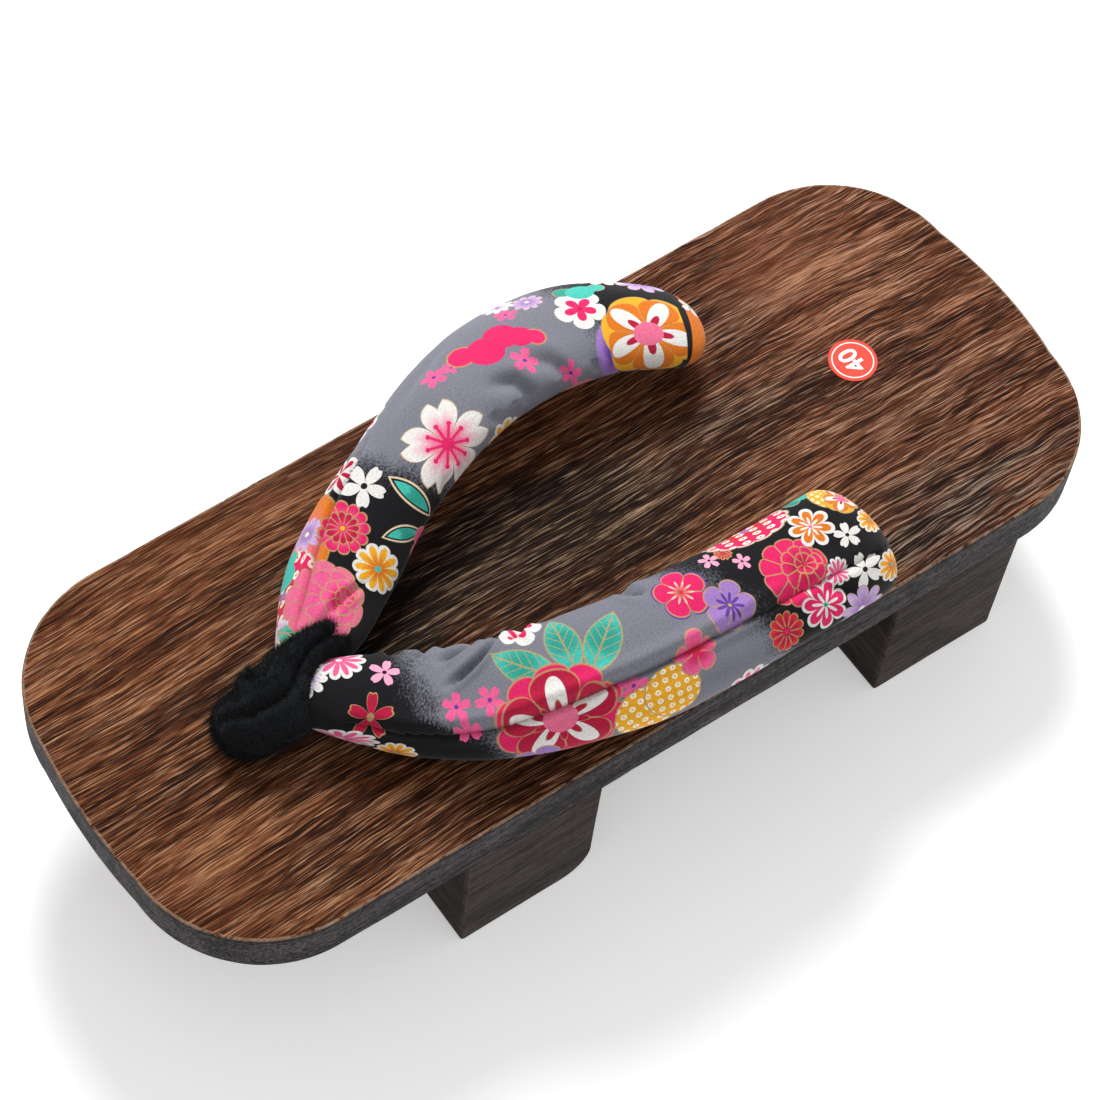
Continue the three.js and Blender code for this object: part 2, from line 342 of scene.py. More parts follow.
def grain_group():
    """Scorched and brushed light wood, with its grain along Y. Place is in millimetres.

    Wander is how far the grain strays sideways and Figure how wavy it is, both in millimetres."""
    nodes, given, out = new_group(
        "scorched_grain", {"Place": "Vector", "Wander": "Float", "Figure": "Float", "Seed": "Float"},
        {"Tone": "Float", "Fibre": "Float", "Pore": "Float", "Height": "Float"})
    seed = given["Seed"]
    place = nodes.vector("ADD", given["Place"], nodes.join(seed, seed, seed))
    drift = (nodes.noise(place, (0.020, 0.010, 0.020), detail=1.0) - 0.5) * given["Wander"]
    wave = (nodes.noise(place, (0.17, 0.075, 0.17), detail=1.0) - 0.5) * given["Figure"]
    place = nodes.vector("ADD", place, nodes.join(drift + wave, 0.0, 0.0))
    lanes = nodes.step(nodes.noise(place, (0.17, 0.008, 0.17)), 0.30, 0.70)
    lines = nodes.step(nodes.noise(place, (2.0, 0.036, 2.0), roughness=0.6), 0.41, 0.59)
    threads = nodes.step(nodes.noise(place, (3.6, 0.115, 3.6), roughness=0.6), 0.43, 0.57)
    tone = lines * 0.30 + threads * 0.37 + lanes * 0.33
    fibre = nodes.step(nodes.noise(place, (3.3, 0.120, 3.3), detail=1.0), 0.57, 0.63)
    fibre = fibre * nodes.step(lines, 0.30, 0.75)
    pore = nodes.step(nodes.noise(place, (3.0, 0.095, 3.0), detail=1.0), 0.58, 0.63)
    nodes.feed(out, Tone=tone, Fibre=fibre, Pore=pore, Height=tone + fibre * 0.6 - pore * 0.5)
    return nodes.tree


def arris_group():
    """The pale worn line on an arris and the sooty line beside it, both broken up."""
    nodes, given, out = new_group(
        "worn_arris", {"Place": "Vector", "Under": "Color", "Pale": "Color"}, {"Color": "Color"})
    breaks = nodes.noise(given["Place"], (0.22, 0.22, 0.6), detail=3.0, roughness=0.75)
    specks = nodes.noise(given["Place"], 1.5, detail=1.0)
    rim = nodes.step(nodes.attribute("rim")["Fac"], 0.35, 0.85) * nodes.step(breaks, 0.36, 0.54)
    rim = rim * nodes.math("MULTIPLY_ADD", specks, 0.8, 0.3, clamp=True)
    soot = nodes.step(nodes.attribute("soot")["Fac"], 0.25, 0.9) * nodes.step(breaks, 0.66, 0.42)
    colour = nodes.mix(soot * 0.8, given["Under"], "100d0d")
    nodes.feed(out, Color=nodes.mix(rim, colour, given["Pale"]))
    return nodes.tree


PATCH = patch_group()
GRAIN = grain_group()
ARRIS = arris_group()

# Darker patches of the board's top, some scorched and some painted shade, smooth ones, and paler ones with
# one painted shade
# among them: their place and reach in millimetres, and their strength. PATCH_DEPTH is how far down the sides
# of a hole they go on.
PATCH_DEPTH = 60.0
CHAR_AND_SHADE_PATCHES = (
    # The first two patches are darker wood together with painted shade beside the right strap's inner side.
    ((2, 4), (25, 70), 0.95),
    ((10, 4), (13, 34), 0.35),
    # Painted shade between the straps, behind the thong.
    ((2, 44), (14, 22), 0.85),
    # Painted shade around the thong, over darker wood.
    ((-12, 74), (11, 26), 0.50),
    ((-40, 82), (8, 30), 0.30),
    ((24, 58), (10, 26), 0.40),
    ((12, 88), (8, 26), 0.45),
    ((-43, -60), (6, 60), 0.45),
    ((-14, -88), (22, 26), 0.30),
    ((28, -62), (9, 20), 0.45),
    ((-20, -112), (6, 14), 0.25),
    ((-4, 112), (7, 26), 0.35),
    # Painted shade beside the left strap's outer side.
    ((-44, 46), (9, 30), 0.40),
    ((3, -73), (9, 9), 0.55),
    ((44, -72), (4, 6), 0.80),
    ((-41, -76), (15, 32), 0.85),
    ((-39, -110), (8, 18), 0.60),
    ((8, -54), (12, 20), 0.45),
    ((49, 20), (5, 60), 0.45),
)
SMOOTH_PATCHES = (
    ((34, 96), (22, 46), 0.15),
    ((46, 40), (9, 60), 0.45),
    ((36, -84), (18, 26), 0.42),
    ((-30, 112), (12, 18), 0.35),
)
PALE_AND_SHADE_PATCHES = (
    ((28, 108), (7, 34), 0.12),
    ((18, 116), (4, 18), 0.06),
    ((-25, 104), (9, 32), 0.26),
    ((26, -92), (18, 26), 0.20),
    ((40, 95), (10, 26), 0.06),
    ((-14, -100), (8, 22), 0.10),
    # A negative strength darkens: this entry is painted shade between the straps, behind the thong.
    ((4, 46), (15, 22), -0.17),
)


def sum_of_patches(nodes, place, patches):
    return sum(
        nodes.group(PATCH, Place=place, Centre=(x, y, BOARD_TOP / MM), Reach=(across, along, PATCH_DEPTH),
                    Amount=amount)["Patch"]
        for (x, y), (across, along), amount in patches)


def top_wood():
    """The board's top: red-brown wood, brushed, with scorched dark streaks, pale raised fibres and patches of
    painted shade beside the straps and around the thong.
    """
    material, nodes, shader = new_material("scorched_top_wood", Specular_IOR_Level=0.08)
    place = nodes.millimetres()
    _, along, _ = nodes.split(place)
    to_heel = nodes.step(along * -1.0, 10.0, 80.0)
    grain = nodes.group(GRAIN, Place=place, Wander=9.0, Figure=to_heel + 0.9, Seed=5.0)
    stray = (nodes.noise(place, (0.12, 0.03, 0.12), detail=3.0) - 0.5) * 26.0
    loose = nodes.vector("ADD", place, nodes.join(stray, stray, 0.0))
    # char_and_shade brings in the dark ramp: scorched wood, and painted shade beside the straps and around
    # the thong.
    char_and_shade = nodes.math("MINIMUM", sum_of_patches(nodes, loose, CHAR_AND_SHADE_PATCHES), 1.0)
    # pale is paler wood, less the painted shade between the straps.
    pale = sum_of_patches(nodes, loose, PALE_AND_SHADE_PATCHES)
    contrast = 1.0 - sum_of_patches(nodes, loose, SMOOTH_PATCHES)
    tone = (grain["Tone"] - 0.5) * contrast + 0.5 + pale
    warm = nodes.ramp(tone, (0.12, "240e06"), (0.38, "492512"), (0.62, "70412a"), (0.95, "a8785b"))
    dark = nodes.ramp(tone, (0.15, "080302"), (0.42, "180c07"), (0.68, "3f2a21"), (0.92, "87705f"))
    colour = nodes.mix(char_and_shade, warm, dark)
    fibre_colour = nodes.mix(char_and_shade, "b88d72", "957d6c")
    colour = nodes.mix(grain["Fibre"] * contrast * 0.70, colour, fibre_colour)
    colour = nodes.mix(grain["Pore"] * contrast * 0.78, colour, "120805")
    tint = nodes.mix(to_heel, (1.0, 0.97, 0.82, 1.0), (1.0, 1.0, 1.0, 1.0))
    colour = nodes.mix(1.0, colour, tint, blend="MULTIPLY")
    colour = nodes.group(ARRIS, Place=place, Under=colour, Pale="a0836c")["Color"]
    nodes.feed(shader, Base_Color=colour, Roughness=grain["Tone"] * -0.20 + 0.72,
               Normal=nodes.bump(grain["Height"], 0.8, 0.35 * MM))
    return material


def charred_wood(name, tones, fibre_colour, fibre_share, worn, mottle, seed, across=False):
    """The sides, underside and teeth: charcoal brown, with faint grain and fine mottling."""
    material, nodes, shader = new_material(name, Specular_IOR_Level=0.12)
    place = nodes.millimetres()
    x, y, z = nodes.split(place)
    grain_place = nodes.join(y, x, z) if across else place
    grain = nodes.group(GRAIN, Place=grain_place, Wander=4.0, Figure=0.5, Seed=seed)
    specks = nodes.noise(place, (1.1, 0.8, 1.1), detail=3.0, roughness=0.7)
    specks = nodes.step(specks, 0.3, 0.7) - 0.5
    colour = nodes.ramp(specks * mottle + grain["Tone"], *zip((0.10, 0.40, 0.65, 0.95), tones))
    colour = nodes.mix(grain["Fibre"] * fibre_share, colour, fibre_colour)
    colour = nodes.mix(grain["Pore"] * 0.35, colour, "1a1413")
    colour = nodes.group(ARRIS, Place=place, Under=colour, Pale=worn)["Color"]
    nodes.feed(shader, Base_Color=colour, Roughness=grain["Tone"] * -0.2 + 0.78,
               Normal=nodes.bump(grain["Height"] + specks, 0.35, 0.25 * MM))
    return material


TOP_WOOD = top_wood()
SIDE_WOOD = charred_wood(
    "charred_side_wood", ("161415", "292627", "383536", "524d4d"), "544a47", 0.12, "8d7a70", 0.7, 37.0)
UNDER_WOOD = charred_wood(
    "charred_under_wood", ("1c120e", "34231b", "4b3629", "664a39"), "7a5f4c", 0.35, "8d7a70", 0.2, 71.0)
# All faces of a tooth but its sides take this darker copy of the charred wood of the sides: its extra
# darkness is painted shade.
TOOTH_WOOD_WITH_PAINTED_SHADE = charred_wood(
    "charred_tooth_wood_with_painted_shade", ("090504", "140c09", "20150f", "36271e"), "3a2b22", 0.3, "40342d", 0.2, 13.0, True)
TOOTH_SIDE_WOOD = charred_wood(
    "charred_tooth_side_wood", ("131011", "241e1d", "322a28", "483d39"), "54463f", 0.4, "4a3f39", 0.3, 53.0)


# Board and teeth

NICK_DEPTH = 0.45 * MM
CHIP_DEPTH = 0.9 * MM
UNEVEN_BOARD = 0.10 * MM
UNEVEN_TOOTH = 0.10 * MM
TOOTH_INSET = 0.3 * MM
TOOTH_EDGE = 0.6 * MM
TOOTH_CORNER = 0.7 * MM
TOOTH_JOINT_CORNER = 0.2 * MM


def outline_points(count):
    """The board's outline, anticlockwise from the middle of the heel, evenly spaced."""
    toe_end = BOARD_HALF_LENGTH - TOE_BOW
    heel_end = -BOARD_HALF_LENGTH + HEEL_BOW
    toe_side = toe_end - TOE_CORNER
    heel_side = heel_end + HEEL_CORNER
    heel_flat = HEEL_HALF_WIDTH - HEEL_CORNER
    toe_flat = TOE_HALF_WIDTH - TOE_CORNER
    waist = 2 * WAIST_HALF_WIDTH - (HEEL_HALF_WIDTH + TOE_HALF_WIDTH) / 2
    t = np.linspace(0, 1, 60)[:, None]

    def bow(start, control, end):
        return (1 - t) ** 2 * np.array(start) + 2 * t * (1 - t) * np.array(control) + t ** 2 * np.array(end)

    def arc(centre, radius, start, end):
        angle = math.radians(start) + t * math.radians(end - start)
        return np.array(centre) + radius * np.hstack([np.cos(angle), np.sin(angle)])

    heel_tip = -BOARD_HALF_LENGTH - HEEL_BOW
    toe_tip = BOARD_HALF_LENGTH + TOE_BOW
    middle = (toe_side + heel_side) / 2
    right = np.vstack([
        [[0, -BOARD_HALF_LENGTH]],
        bow((-heel_flat, heel_end), (0, heel_tip), (heel_flat, heel_end))[30:],
        arc((heel_flat, heel_side), HEEL_CORNER, -90, 0),
        bow((HEEL_HALF_WIDTH, heel_side), (waist, middle), (TOE_HALF_WIDTH, toe_side)),
        arc((toe_flat, toe_side), TOE_CORNER, 0, 90),
        bow((toe_flat, toe_end), (0, toe_tip), (-toe_flat, toe_end))[:30],
        [[0, BOARD_HALF_LENGTH]],
    ])
    steps = np.linalg.norm(np.diff(right, axis=0), axis=1)
    right = right[np.r_[True, steps > 1e-7]]
    length = np.r_[0, np.cumsum(np.linalg.norm(np.diff(right, axis=0), axis=1))]
    places = np.linspace(0, length[-1], count // 2 + 1)
    half = np.column_stack([np.interp(places, length, right[:, i]) for i in (0, 1)])
    left = half[1:-1][::-1] * (-1, 1)
    return np.vstack([half, left])


def half_widths_at(places):
    """Half widths of the board at places along it, on the same curve as its outline."""
    points = outline_points(160)
    right = points[: len(points) // 2]
    return np.interp(places, right[:, 1], right[:, 0])


def toe_rise(y):
    t = np.clip((y - TOE_RISE_START) / (BOARD_HALF_LENGTH + 5 * MM - TOE_RISE_START), 0, 1)
    return TOE_RISE * t * t


def arris_marks(mesh, rim, soot):
    """Marks where the mesh's arrises are worn pale and where soot gathers beside them."""
    for name, values in (("rim", rim), ("soot", soot)):
        layer = mesh.attributes.new(name, "FLOAT", "POINT")
        layer.data.foreach_set("value", np.asarray(values, np.float32))


def settled_mesh(piece):
    """The piece's mesh as it is once its modifiers are applied."""
    graph = bpy.context.evaluated_depsgraph_get()
    return bpy.data.meshes.new_from_object(piece.evaluated_get(graph))


def bore(piece, holes, low, high):
    """Cuts round holes down through a piece."""
    cutters = bmesh.new()
    for x, y, radius in holes:
        place = Matrix.Translation((x, y, (low + high) / 2))
        bmesh.ops.create_cone(cutters, cap_ends=True, segments=40, radius1=radius, radius2=radius,
                              depth=high - low, matrix=place)
    mesh = bpy.data.meshes.new("hole_cutters")
    cutters.to_mesh(mesh)
    cutters.free()
    mesh.materials.append(piece.data.materials[0])
    cutter = add_object("hole_cutters", mesh)
    cut = piece.modifiers.new("holes", "BOOLEAN")
    cut.operation = "DIFFERENCE"
    cut.solver = "EXACT"
    cut.object = cutter
    bored = settled_mesh(piece)
    piece.modifiers.clear()
    piece.data = bored
    bpy.data.objects.remove(cutter)


def make_board():
    """The board: flat top, crisp worn arris with small nicks, slightly uneven sides."""
    outline = outline_points(720)
    ahead = np.roll(outline, -1, axis=0) - np.roll(outline, 1, axis=0)
    outer = unit(np.column_stack([ahead[:, 1], -ahead[:, 0]]))
    underside = BOARD_UNDERSIDE + toe_rise(outline[:, 1])
    spots = [(x, y, 0.0) for x, y in outline]
    nick = NICK_DEPTH * np.clip(soft_noise(spots, 2.2 * MM, 3.0) - 0.38, 0, 1)
    chip = nick + CHIP_DEPTH * np.clip(soft_noise(spots, 7 * MM, 8.0) - 0.42, 0, 1)
    points, rim, soot = [], [], []

    def ring(inset, height, pale=0.0, dark=0.0, worn=0.0):
        rough = soft_noise([(x, y, h) for (x, y), h in zip(outline, height)], 8 * MM, 5.0)
        inset = inset + UNEVEN_BOARD * (1 + rough) + chip * worn
        points.append(np.column_stack([outline - outer * inset[:, None], height - chip * worn * 0.5]))
        rim.extend([pale] * len(outline))
        soot.extend([dark] * len(outline))

    top = np.full(len(outline), BOARD_TOP)
    ring(ARRIS_RADIUS + 0.7 * MM, top)
    ring(ARRIS_RADIUS + 0.25 * MM, top, pale=0.3)
    for angle in np.radians([0, 30, 60]):
        drop = ARRIS_RADIUS * (1 - math.cos(angle))
        ring(ARRIS_RADIUS * (1 - math.sin(angle)), top - drop, pale=1.0, worn=1.0)
    ring(0.0, top - ARRIS_RADIUS, pale=0.2, dark=0.8, worn=0.8)
    ring(0.0, top - ARRIS_RADIUS - 0.45 * MM, dark=1.0, worn=0.3)
    ring(0.0, top - ARRIS_RADIUS - 1.1 * MM, dark=0.2)
    for share in (0.2, 0.35, 0.5, 0.65, 0.8, 0.92):
        ring(0.0, top + (underside - top) * share)
    for angle in np.radians([10, 40, 70, 90]):
        lift = ARRIS_RADIUS * (1 - math.sin(angle))
        ring(ARRIS_RADIUS * (1 - math.cos(angle)), underside + lift, pale=0.5, worn=0.3)
    faces = ring_faces(len(points), len(outline))
    mesh = mesh_from("board", np.vstack(points), faces, TOP_WOOD, SIDE_WOOD, UNDER_WOOD)
    arris_marks(mesh, rim, soot)
    outward(mesh)
    piece = add_piece("board_wood", mesh)
    bore(piece, [TOE_HOLE, *HEEL_HOLES], BOARD_UNDERSIDE - 5 * MM, BOARD_TOP + 5 * MM)
    for polygon in piece.data.polygons:
        faces_up, faces_down = polygon.normal.z > 0.55, polygon.normal.z < -0.7
        polygon.material_index = 0 if faces_up else 2 if faces_down else 1
    piece.data.shade_smooth()
    piece.data.set_sharp_from_angle(angle=SHARP_ANGLE)
    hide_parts("board")
    return piece


def tooth_side_view(node, rear_radius):
    """The outline of a tooth seen from the side, with its marks for worn edges."""
    low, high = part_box(node)
    corners = (
        (high.y, low.z, TOOTH_CORNER, -90, (-1, 1)),
        (high.y, high.z, TOOTH_JOINT_CORNER, 0, (-1, -1)),
        (low.y, high.z, TOOTH_JOINT_CORNER, 90, (1, -1)),
        (low.y, low.z, max(rear_radius, TOOTH_CORNER), 180, (1, 1)),
    )
    view, marks = [], []
    for y, z, radius, start, (to_y, to_z) in corners:
        large = radius > 2 * MM
        for angle in np.radians(np.linspace(start, start + 90, 16 if large else 5)):
            view.append((y + radius * (to_y + math.cos(angle)), z + radius * (to_z + math.sin(angle))))
            marks.append(0.0 if large or radius < 0.5 * MM else 0.9)
    dense, dense_marks = [], []
    for i, (first, second) in enumerate(zip(view, view[1:] + view[:1])):
        parts = max(1, int(math.dist(first, second) / (2.5 * MM)))
        for k in range(parts):
            dense.append(tuple(a + (b - a) * k / parts for a, b in zip(first, second)))
            dense_marks.append(marks[i] if k == 0 else 0.0)
    return np.array(dense), dense_marks


def make_tooth(node, rear_radius):
    """A tooth: a block flush with the board's sides, with softly broken edges."""
    view, marks = tooth_side_view(node, rear_radius)
    inward = unit(view.mean(0) - view)
    reach = half_widths_at(view[:, 0]) - TOOTH_INSET
    rims = [(0.0, TOOTH_EDGE, 0.5), (0.3 * TOOTH_EDGE, 0.3 * TOOTH_EDGE, 1.0), (TOOTH_EDGE, 0.0, 0.8)]
    stations = [(-1.0, *r) for r in rims]
    stations += [(share, 0.0, 0.0, 0.0) for share in np.linspace(-1, 1, 37)[1:-1]]
    stations += [(1.0, *r) for r in rims[::-1]]
    rings, rim = [], []
    for share, back, shrink, mark in stations:
        x = share * reach - math.copysign(back, share)
        points = np.column_stack([x, view + inward * shrink])
        uneven = soft_noise(points, 11 * MM, 4.0) * UNEVEN_TOOTH
        on_floor = points[:, 2] < 1.5 * MM
        points[:, 1] += np.where(on_floor, 0, uneven)
        rings.append(points)
        rim += [max(mark, m) for m in marks]
    faces = ring_faces(len(rings), len(view))
    mesh = mesh_from(node, np.vstack(rings), faces, TOOTH_WOOD_WITH_PAINTED_SHADE, TOOTH_SIDE_WOOD)
    arris_marks(mesh, rim, [0.0] * len(rim))
    outward(mesh)
    for polygon in mesh.polygons:
        # The sides take the charred wood; the other faces take the darker copy with painted shade.
        polygon.material_index = 1 if abs(polygon.normal.x) > 0.8 else 0
    piece = add_piece(node + "_wood", mesh)
    mesh.set_sharp_from_angle(angle=SHARP_ANGLE)
    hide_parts(node)
    return piece


# Padded straps

def column_at(rows, name, t):
    """The value of a named column at t, from 0 at the first row to 1 at the last, on a smooth curve."""
    column = PAD_COLUMNS.index(name)
    place = min(max(t, 0), 1) * (len(rows) - 1)
    row = min(int(place), len(rows) - 2)
    u = place - row
    a, b, c, d = (rows[min(max(i, 0), len(rows) - 1)][column] for i in (row - 1, row, row + 1, row + 2))
    return b + 0.5 * u * (c - a + u * (2 * a - 5 * b + 4 * c - d + u * (3 * (b - c) + d - a)))


def centre_at(rows, t):
    out, along, above = (column_at(rows, name, t) * MM for name in ("out", "along", "above"))
    return np.array([out, along, BOARD_TOP + above])


class PaddedTube:
    """A padded tube through the rows, as rings of points with their own places on the cloth.

    along is the distance of each ring from the front and around the distance over the cloth from
    the top line of the pad, positive towards the middle of the board, both in millimetres."""

    def __init__(self, rows, side, rings, sides, front_cap, rear_cap, upright_ends=False):
        self.side = side
        t = np.linspace(0, 1, rings)
        closer_at_the_ends = 0.06 * np.sin(2 * np.pi * t)
        t = t - closer_at_the_ends
        angle = 2 * np.pi * np.arange(sides) / sides
        self.points = np.zeros((rings, sides, 3))
        self.normals = np.zeros((rings, sides, 3))
        self.angle = np.degrees(np.where(angle > np.pi, angle - 2 * np.pi, angle))
        centres = np.array([centre_at(rows, place) for place in t])
        for i, place in enumerate(t):
            ahead = unit(centre_at(rows, min(place + 0.01, 1)) - centre_at(rows, max(place - 0.01, 0)))
            inward = np.cross(ahead, (0, 0, 1))
            if upright_ends and abs(ahead[0]) < 0.2 and abs(ahead[2]) > 0.5:
                inward = np.array([-1.0, 0, 0])
            inward = unit(inward)
            lean = math.radians(column_at(rows, "lean", place))
            thick = np.cross(inward, ahead) * math.cos(lean) - inward * math.sin(lean)
            wide = np.cross(ahead, thick)
            share = MM
            for distance, cap in ((place, front_cap), (1 - place, rear_cap)):
                depth = min(distance / cap, 1)
                share *= math.sqrt(max(1 - (1 - depth) ** 2, 0.02))
            half_width = column_at(rows, "half_width", place) * share
            half_thick = column_at(rows, "half_thick", place) * share
            across = np.outer(half_thick * np.cos(angle), thick) + np.outer(half_width * np.sin(angle), wide)
            facing = np.outer(np.cos(angle) / half_thick, thick) + np.outer(np.sin(angle) / half_width, wide)
            self.points[i] = centres[i] + across
            self.normals[i] = unit(facing)
        steps = np.linalg.norm(np.diff(centres, axis=0), axis=1)
        self.along = np.r_[0, np.cumsum(steps)][:, None] / MM + np.zeros((1, sides))
        gaps = np.linalg.norm(np.roll(self.points, -1, axis=1) - self.points, axis=2) / MM
        forward = np.concatenate([np.zeros((rings, 1)), np.cumsum(gaps, axis=1)], axis=1)
        self.girth = forward[:, -1]
        past_half = np.arange(sides) > sides // 2
        self.around = forward[:, :sides] - past_half * self.girth[:, None]

    def place_on_cloth(self, along, degrees):
        """The distance around the cloth of a direction given in degrees, at a place along the pad."""
        i = int(np.argmin(np.abs(self.along[:, 0] - along)))
        j = int(np.argmin(np.abs(self.angle - degrees)))
        return self.around[i, j]

    def press(self, creases):
        """Presses soft troughs into the pad, with a low ridge on each side of them.

        A crease fades out at both ends of its path. One with a lip is a sharp fold: the cloth above it
        stands proud and laps over it a little."""
        push = np.zeros(self.along.shape)
        across = unit(np.roll(self.points, 1, axis=1) - np.roll(self.points, -1, axis=1))
        slide = np.zeros(self.points.shape)
        for depth, width, lip, path in creases:
            line = np.array([(a, self.place_on_cloth(a, d)) for a, d in path])
            nearest = np.full(self.along.shape, 1e9)
            fade = np.zeros(self.along.shape)
            upper = np.zeros(self.along.shape)
            lengths = np.r_[0, np.cumsum(np.linalg.norm(np.diff(line, axis=0), axis=1))]
            for length, (a0, r0), (a1, r1) in zip(lengths, line, line[1:]):
                span = max((a1 - a0) ** 2 + (r1 - r0) ** 2, 1e-9)
                share = np.clip(((self.along - a0) * (a1 - a0) + (self.around - r0) * (r1 - r0)) / span, 0, 1)
                distance = np.hypot(self.along - a0 - share * (a1 - a0), self.around - r0 - share * (r1 - r0))
                travelled = (length + share * math.sqrt(span)) / lengths[-1]
                better = distance < nearest
                above = (self.around - r0) * (a1 - a0) - (self.along - a0) * (r1 - r0)
                upper = np.where(better, np.where(above > 0, 1.0, -0.6), upper)
                fade = np.where(better, np.sin(np.pi * np.clip(travelled, 0.02, 0.98)) ** 0.6, fade)
                nearest = np.minimum(nearest, distance)
            trough = np.exp(-nearest / width) if lip else np.exp(-(nearest / width) ** 2)
            ridge = np.exp(-((nearest - 2.1 * width) / (1.2 * width)) ** 2)
            push += fade * depth * (0.32 * ridge - trough)
            push += fade * lip * upper * np.exp(-nearest / (4.5 * width))
            lap = fade * lip * np.maximum(upper, 0) * np.exp(-nearest / (2.5 * width))
            slide += across * (lap * MM)[..., None]
        self.points += self.normals * (push * MM)[..., None] + slide

    def roughen(self, size, amount, seed):
        """Makes the pad uneven, with lumps of that size and amount in millimetres."""
        lumps = soft_noise(self.points.reshape(-1, 3), size * MM, seed).reshape(self.along.shape)
        self.points += self.normals * (lumps * amount * MM)[..., None]

    def settle(self):
        """Rests the pad on the board: the part that would sink in is flat on the wood."""
        self.points[..., 2] = np.maximum(self.points[..., 2], BOARD_TOP + GAP)

    def mesh(self, name, *finishes):
        faces = ring_faces(*self.along.shape)
        if self.side < 0:
            faces = [face[::-1] for face in faces]
        return mesh_from(name, self.points.reshape(-1, 3) * (self.side, 1, 1), faces, *finishes)


# Printed cotton

# Each face of the cloth keeps up to seven layers of print. FACE_REACH is more than half the width of
# a face in millimetres.
LAYERS = 7
FACE_REACH = 0.8
GOLD = "b0925f"


def blossom_group():
    """One printed motif over the colour Under, drawn around its own centre.

    Spot holds the motif's own x and y, from -1 to 1, and its number of petals; with one petal it
    is a leaf. Line is the width of its gold lines. Waist is how far in the gaps between the petals
    reach, Round how square their tips are, and Notch how deep the nick in each tip is; a notch
    below 0 means a cloud of dots."""
    nodes, given, out = new_group(
        "blossom",
        {"Under": "Color", "Spot": "Vector", "Line": "Float", "Outer": "Color", "Waist": "Float",
         "Inner": "Color", "Round": "Float", "Heart": "Color", "Notch": "Float"},
        {"Color": "Color"})
    x, y, petals = nodes.split(given["Spot"])
    line, waist, notch = given["Line"], given["Waist"], given["Notch"]
    is_leaf = petals < 1.5
    radius = nodes.math("SQRT", x * x + y * y)
    turn = nodes.math("ARCTAN2", y, x) / (2 * math.pi)
    across = abs(nodes.fraction(turn * petals + 0.5) * 2.0 - 1.0)
    lobe = nodes.greater(1.0 - across * across, 0.0001) ** given["Round"]
    nick = nodes.greater(1.0 - across * 4.0, 0.0)
    edge = lobe * (1.0 - waist) + waist - nick * nodes.greater(notch, 0.0)
    aside = abs(y)
    petal_inside = edge - radius
    blade_inside = (1.0 - x * x) * waist - aside
    inside = is_leaf * (blade_inside - petal_inside) + petal_inside
    mask = nodes.step(inside, 0.0, 0.03)
    rim = (1.0 - nodes.step(inside, line, line * 1.6 + 0.01)) * (line > 0.001)
    to_side = (1.0 - across) * radius * math.pi / petals
    seam = (to_side < line * 0.45) * nodes.step(radius, 0.16, 0.26) * (petals > 1.5) * (waist < 0.95)
    slanted = nodes.fraction((x - aside) * 3.5)
    veins = nodes.greater(slanted < line * 2.4, aside < line * 0.6) * is_leaf
    outward_share = nodes.step(radius / nodes.greater(edge, 0.05), 0.22, 0.86)
    petal = nodes.mix(outward_share, given["Inner"], given["Outer"])
    spokes = abs(nodes.fraction(turn * (petals * 2.0)) - 0.5) * radius
    thread = (spokes < 0.045) * (radius < 0.44)
    knob = nodes.vector("LENGTH", nodes.join(spokes * 0.55, radius - 0.43, 0.0)) < 0.045
    stamens = nodes.greater(thread, knob) * (notch > 0.15)
    heart = (1.0 - nodes.step(radius, 0.12, 0.16)) * (1.0 - is_leaf)
    dots = nodes.vector("MULTIPLY", given["Spot"], (3.0, 3.0, 0.0))
    dots = nodes.vector("FRACTION", nodes.vector("ADD", dots, (9.0, 9.0, 0.5)))
    dots = nodes.vector("LENGTH", nodes.vector("SUBTRACT", dots, (0.5, 0.5, 0.5)))
    dots = (dots < 0.30) * (dots > 0.10) * (notch < -0.01)
    colour = nodes.mix(nodes.greater(heart, stamens), petal, given["Heart"])
    colour = nodes.mix(dots, colour, "efe6d2")
    lines = nodes.greater(rim, nodes.greater(seam, veins))
    colour = nodes.mix(lines * 0.85, colour, GOLD)
    nodes.feed(out, Color=nodes.mix(mask, given["Under"], colour))
    return nodes.tree


def weave_group():
    """Soft plain-weave cotton: fine threads over and under, a light nap and uneven dye."""
    nodes, given, out = new_group("cotton_weave", {"Cloth": "Vector"}, {"Height": "Float", "Shade": "Float"})
    x, y, _ = nodes.split(given["Cloth"])
    threads = 2 * math.pi / 0.55
    weave = nodes.math("SINE", x * threads) * nodes.math("SINE", y * threads) * 0.35
    nap = nodes.noise(given["Cloth"], 1.9, detail=3.0, roughness=0.75)
    nodes.feed(out, Height=nap * 1.6 + weave, Shade=nodes.step(nap, 0.25, 0.75))
    return nodes.tree


BLOSSOM = blossom_group()
WEAVE = weave_group()


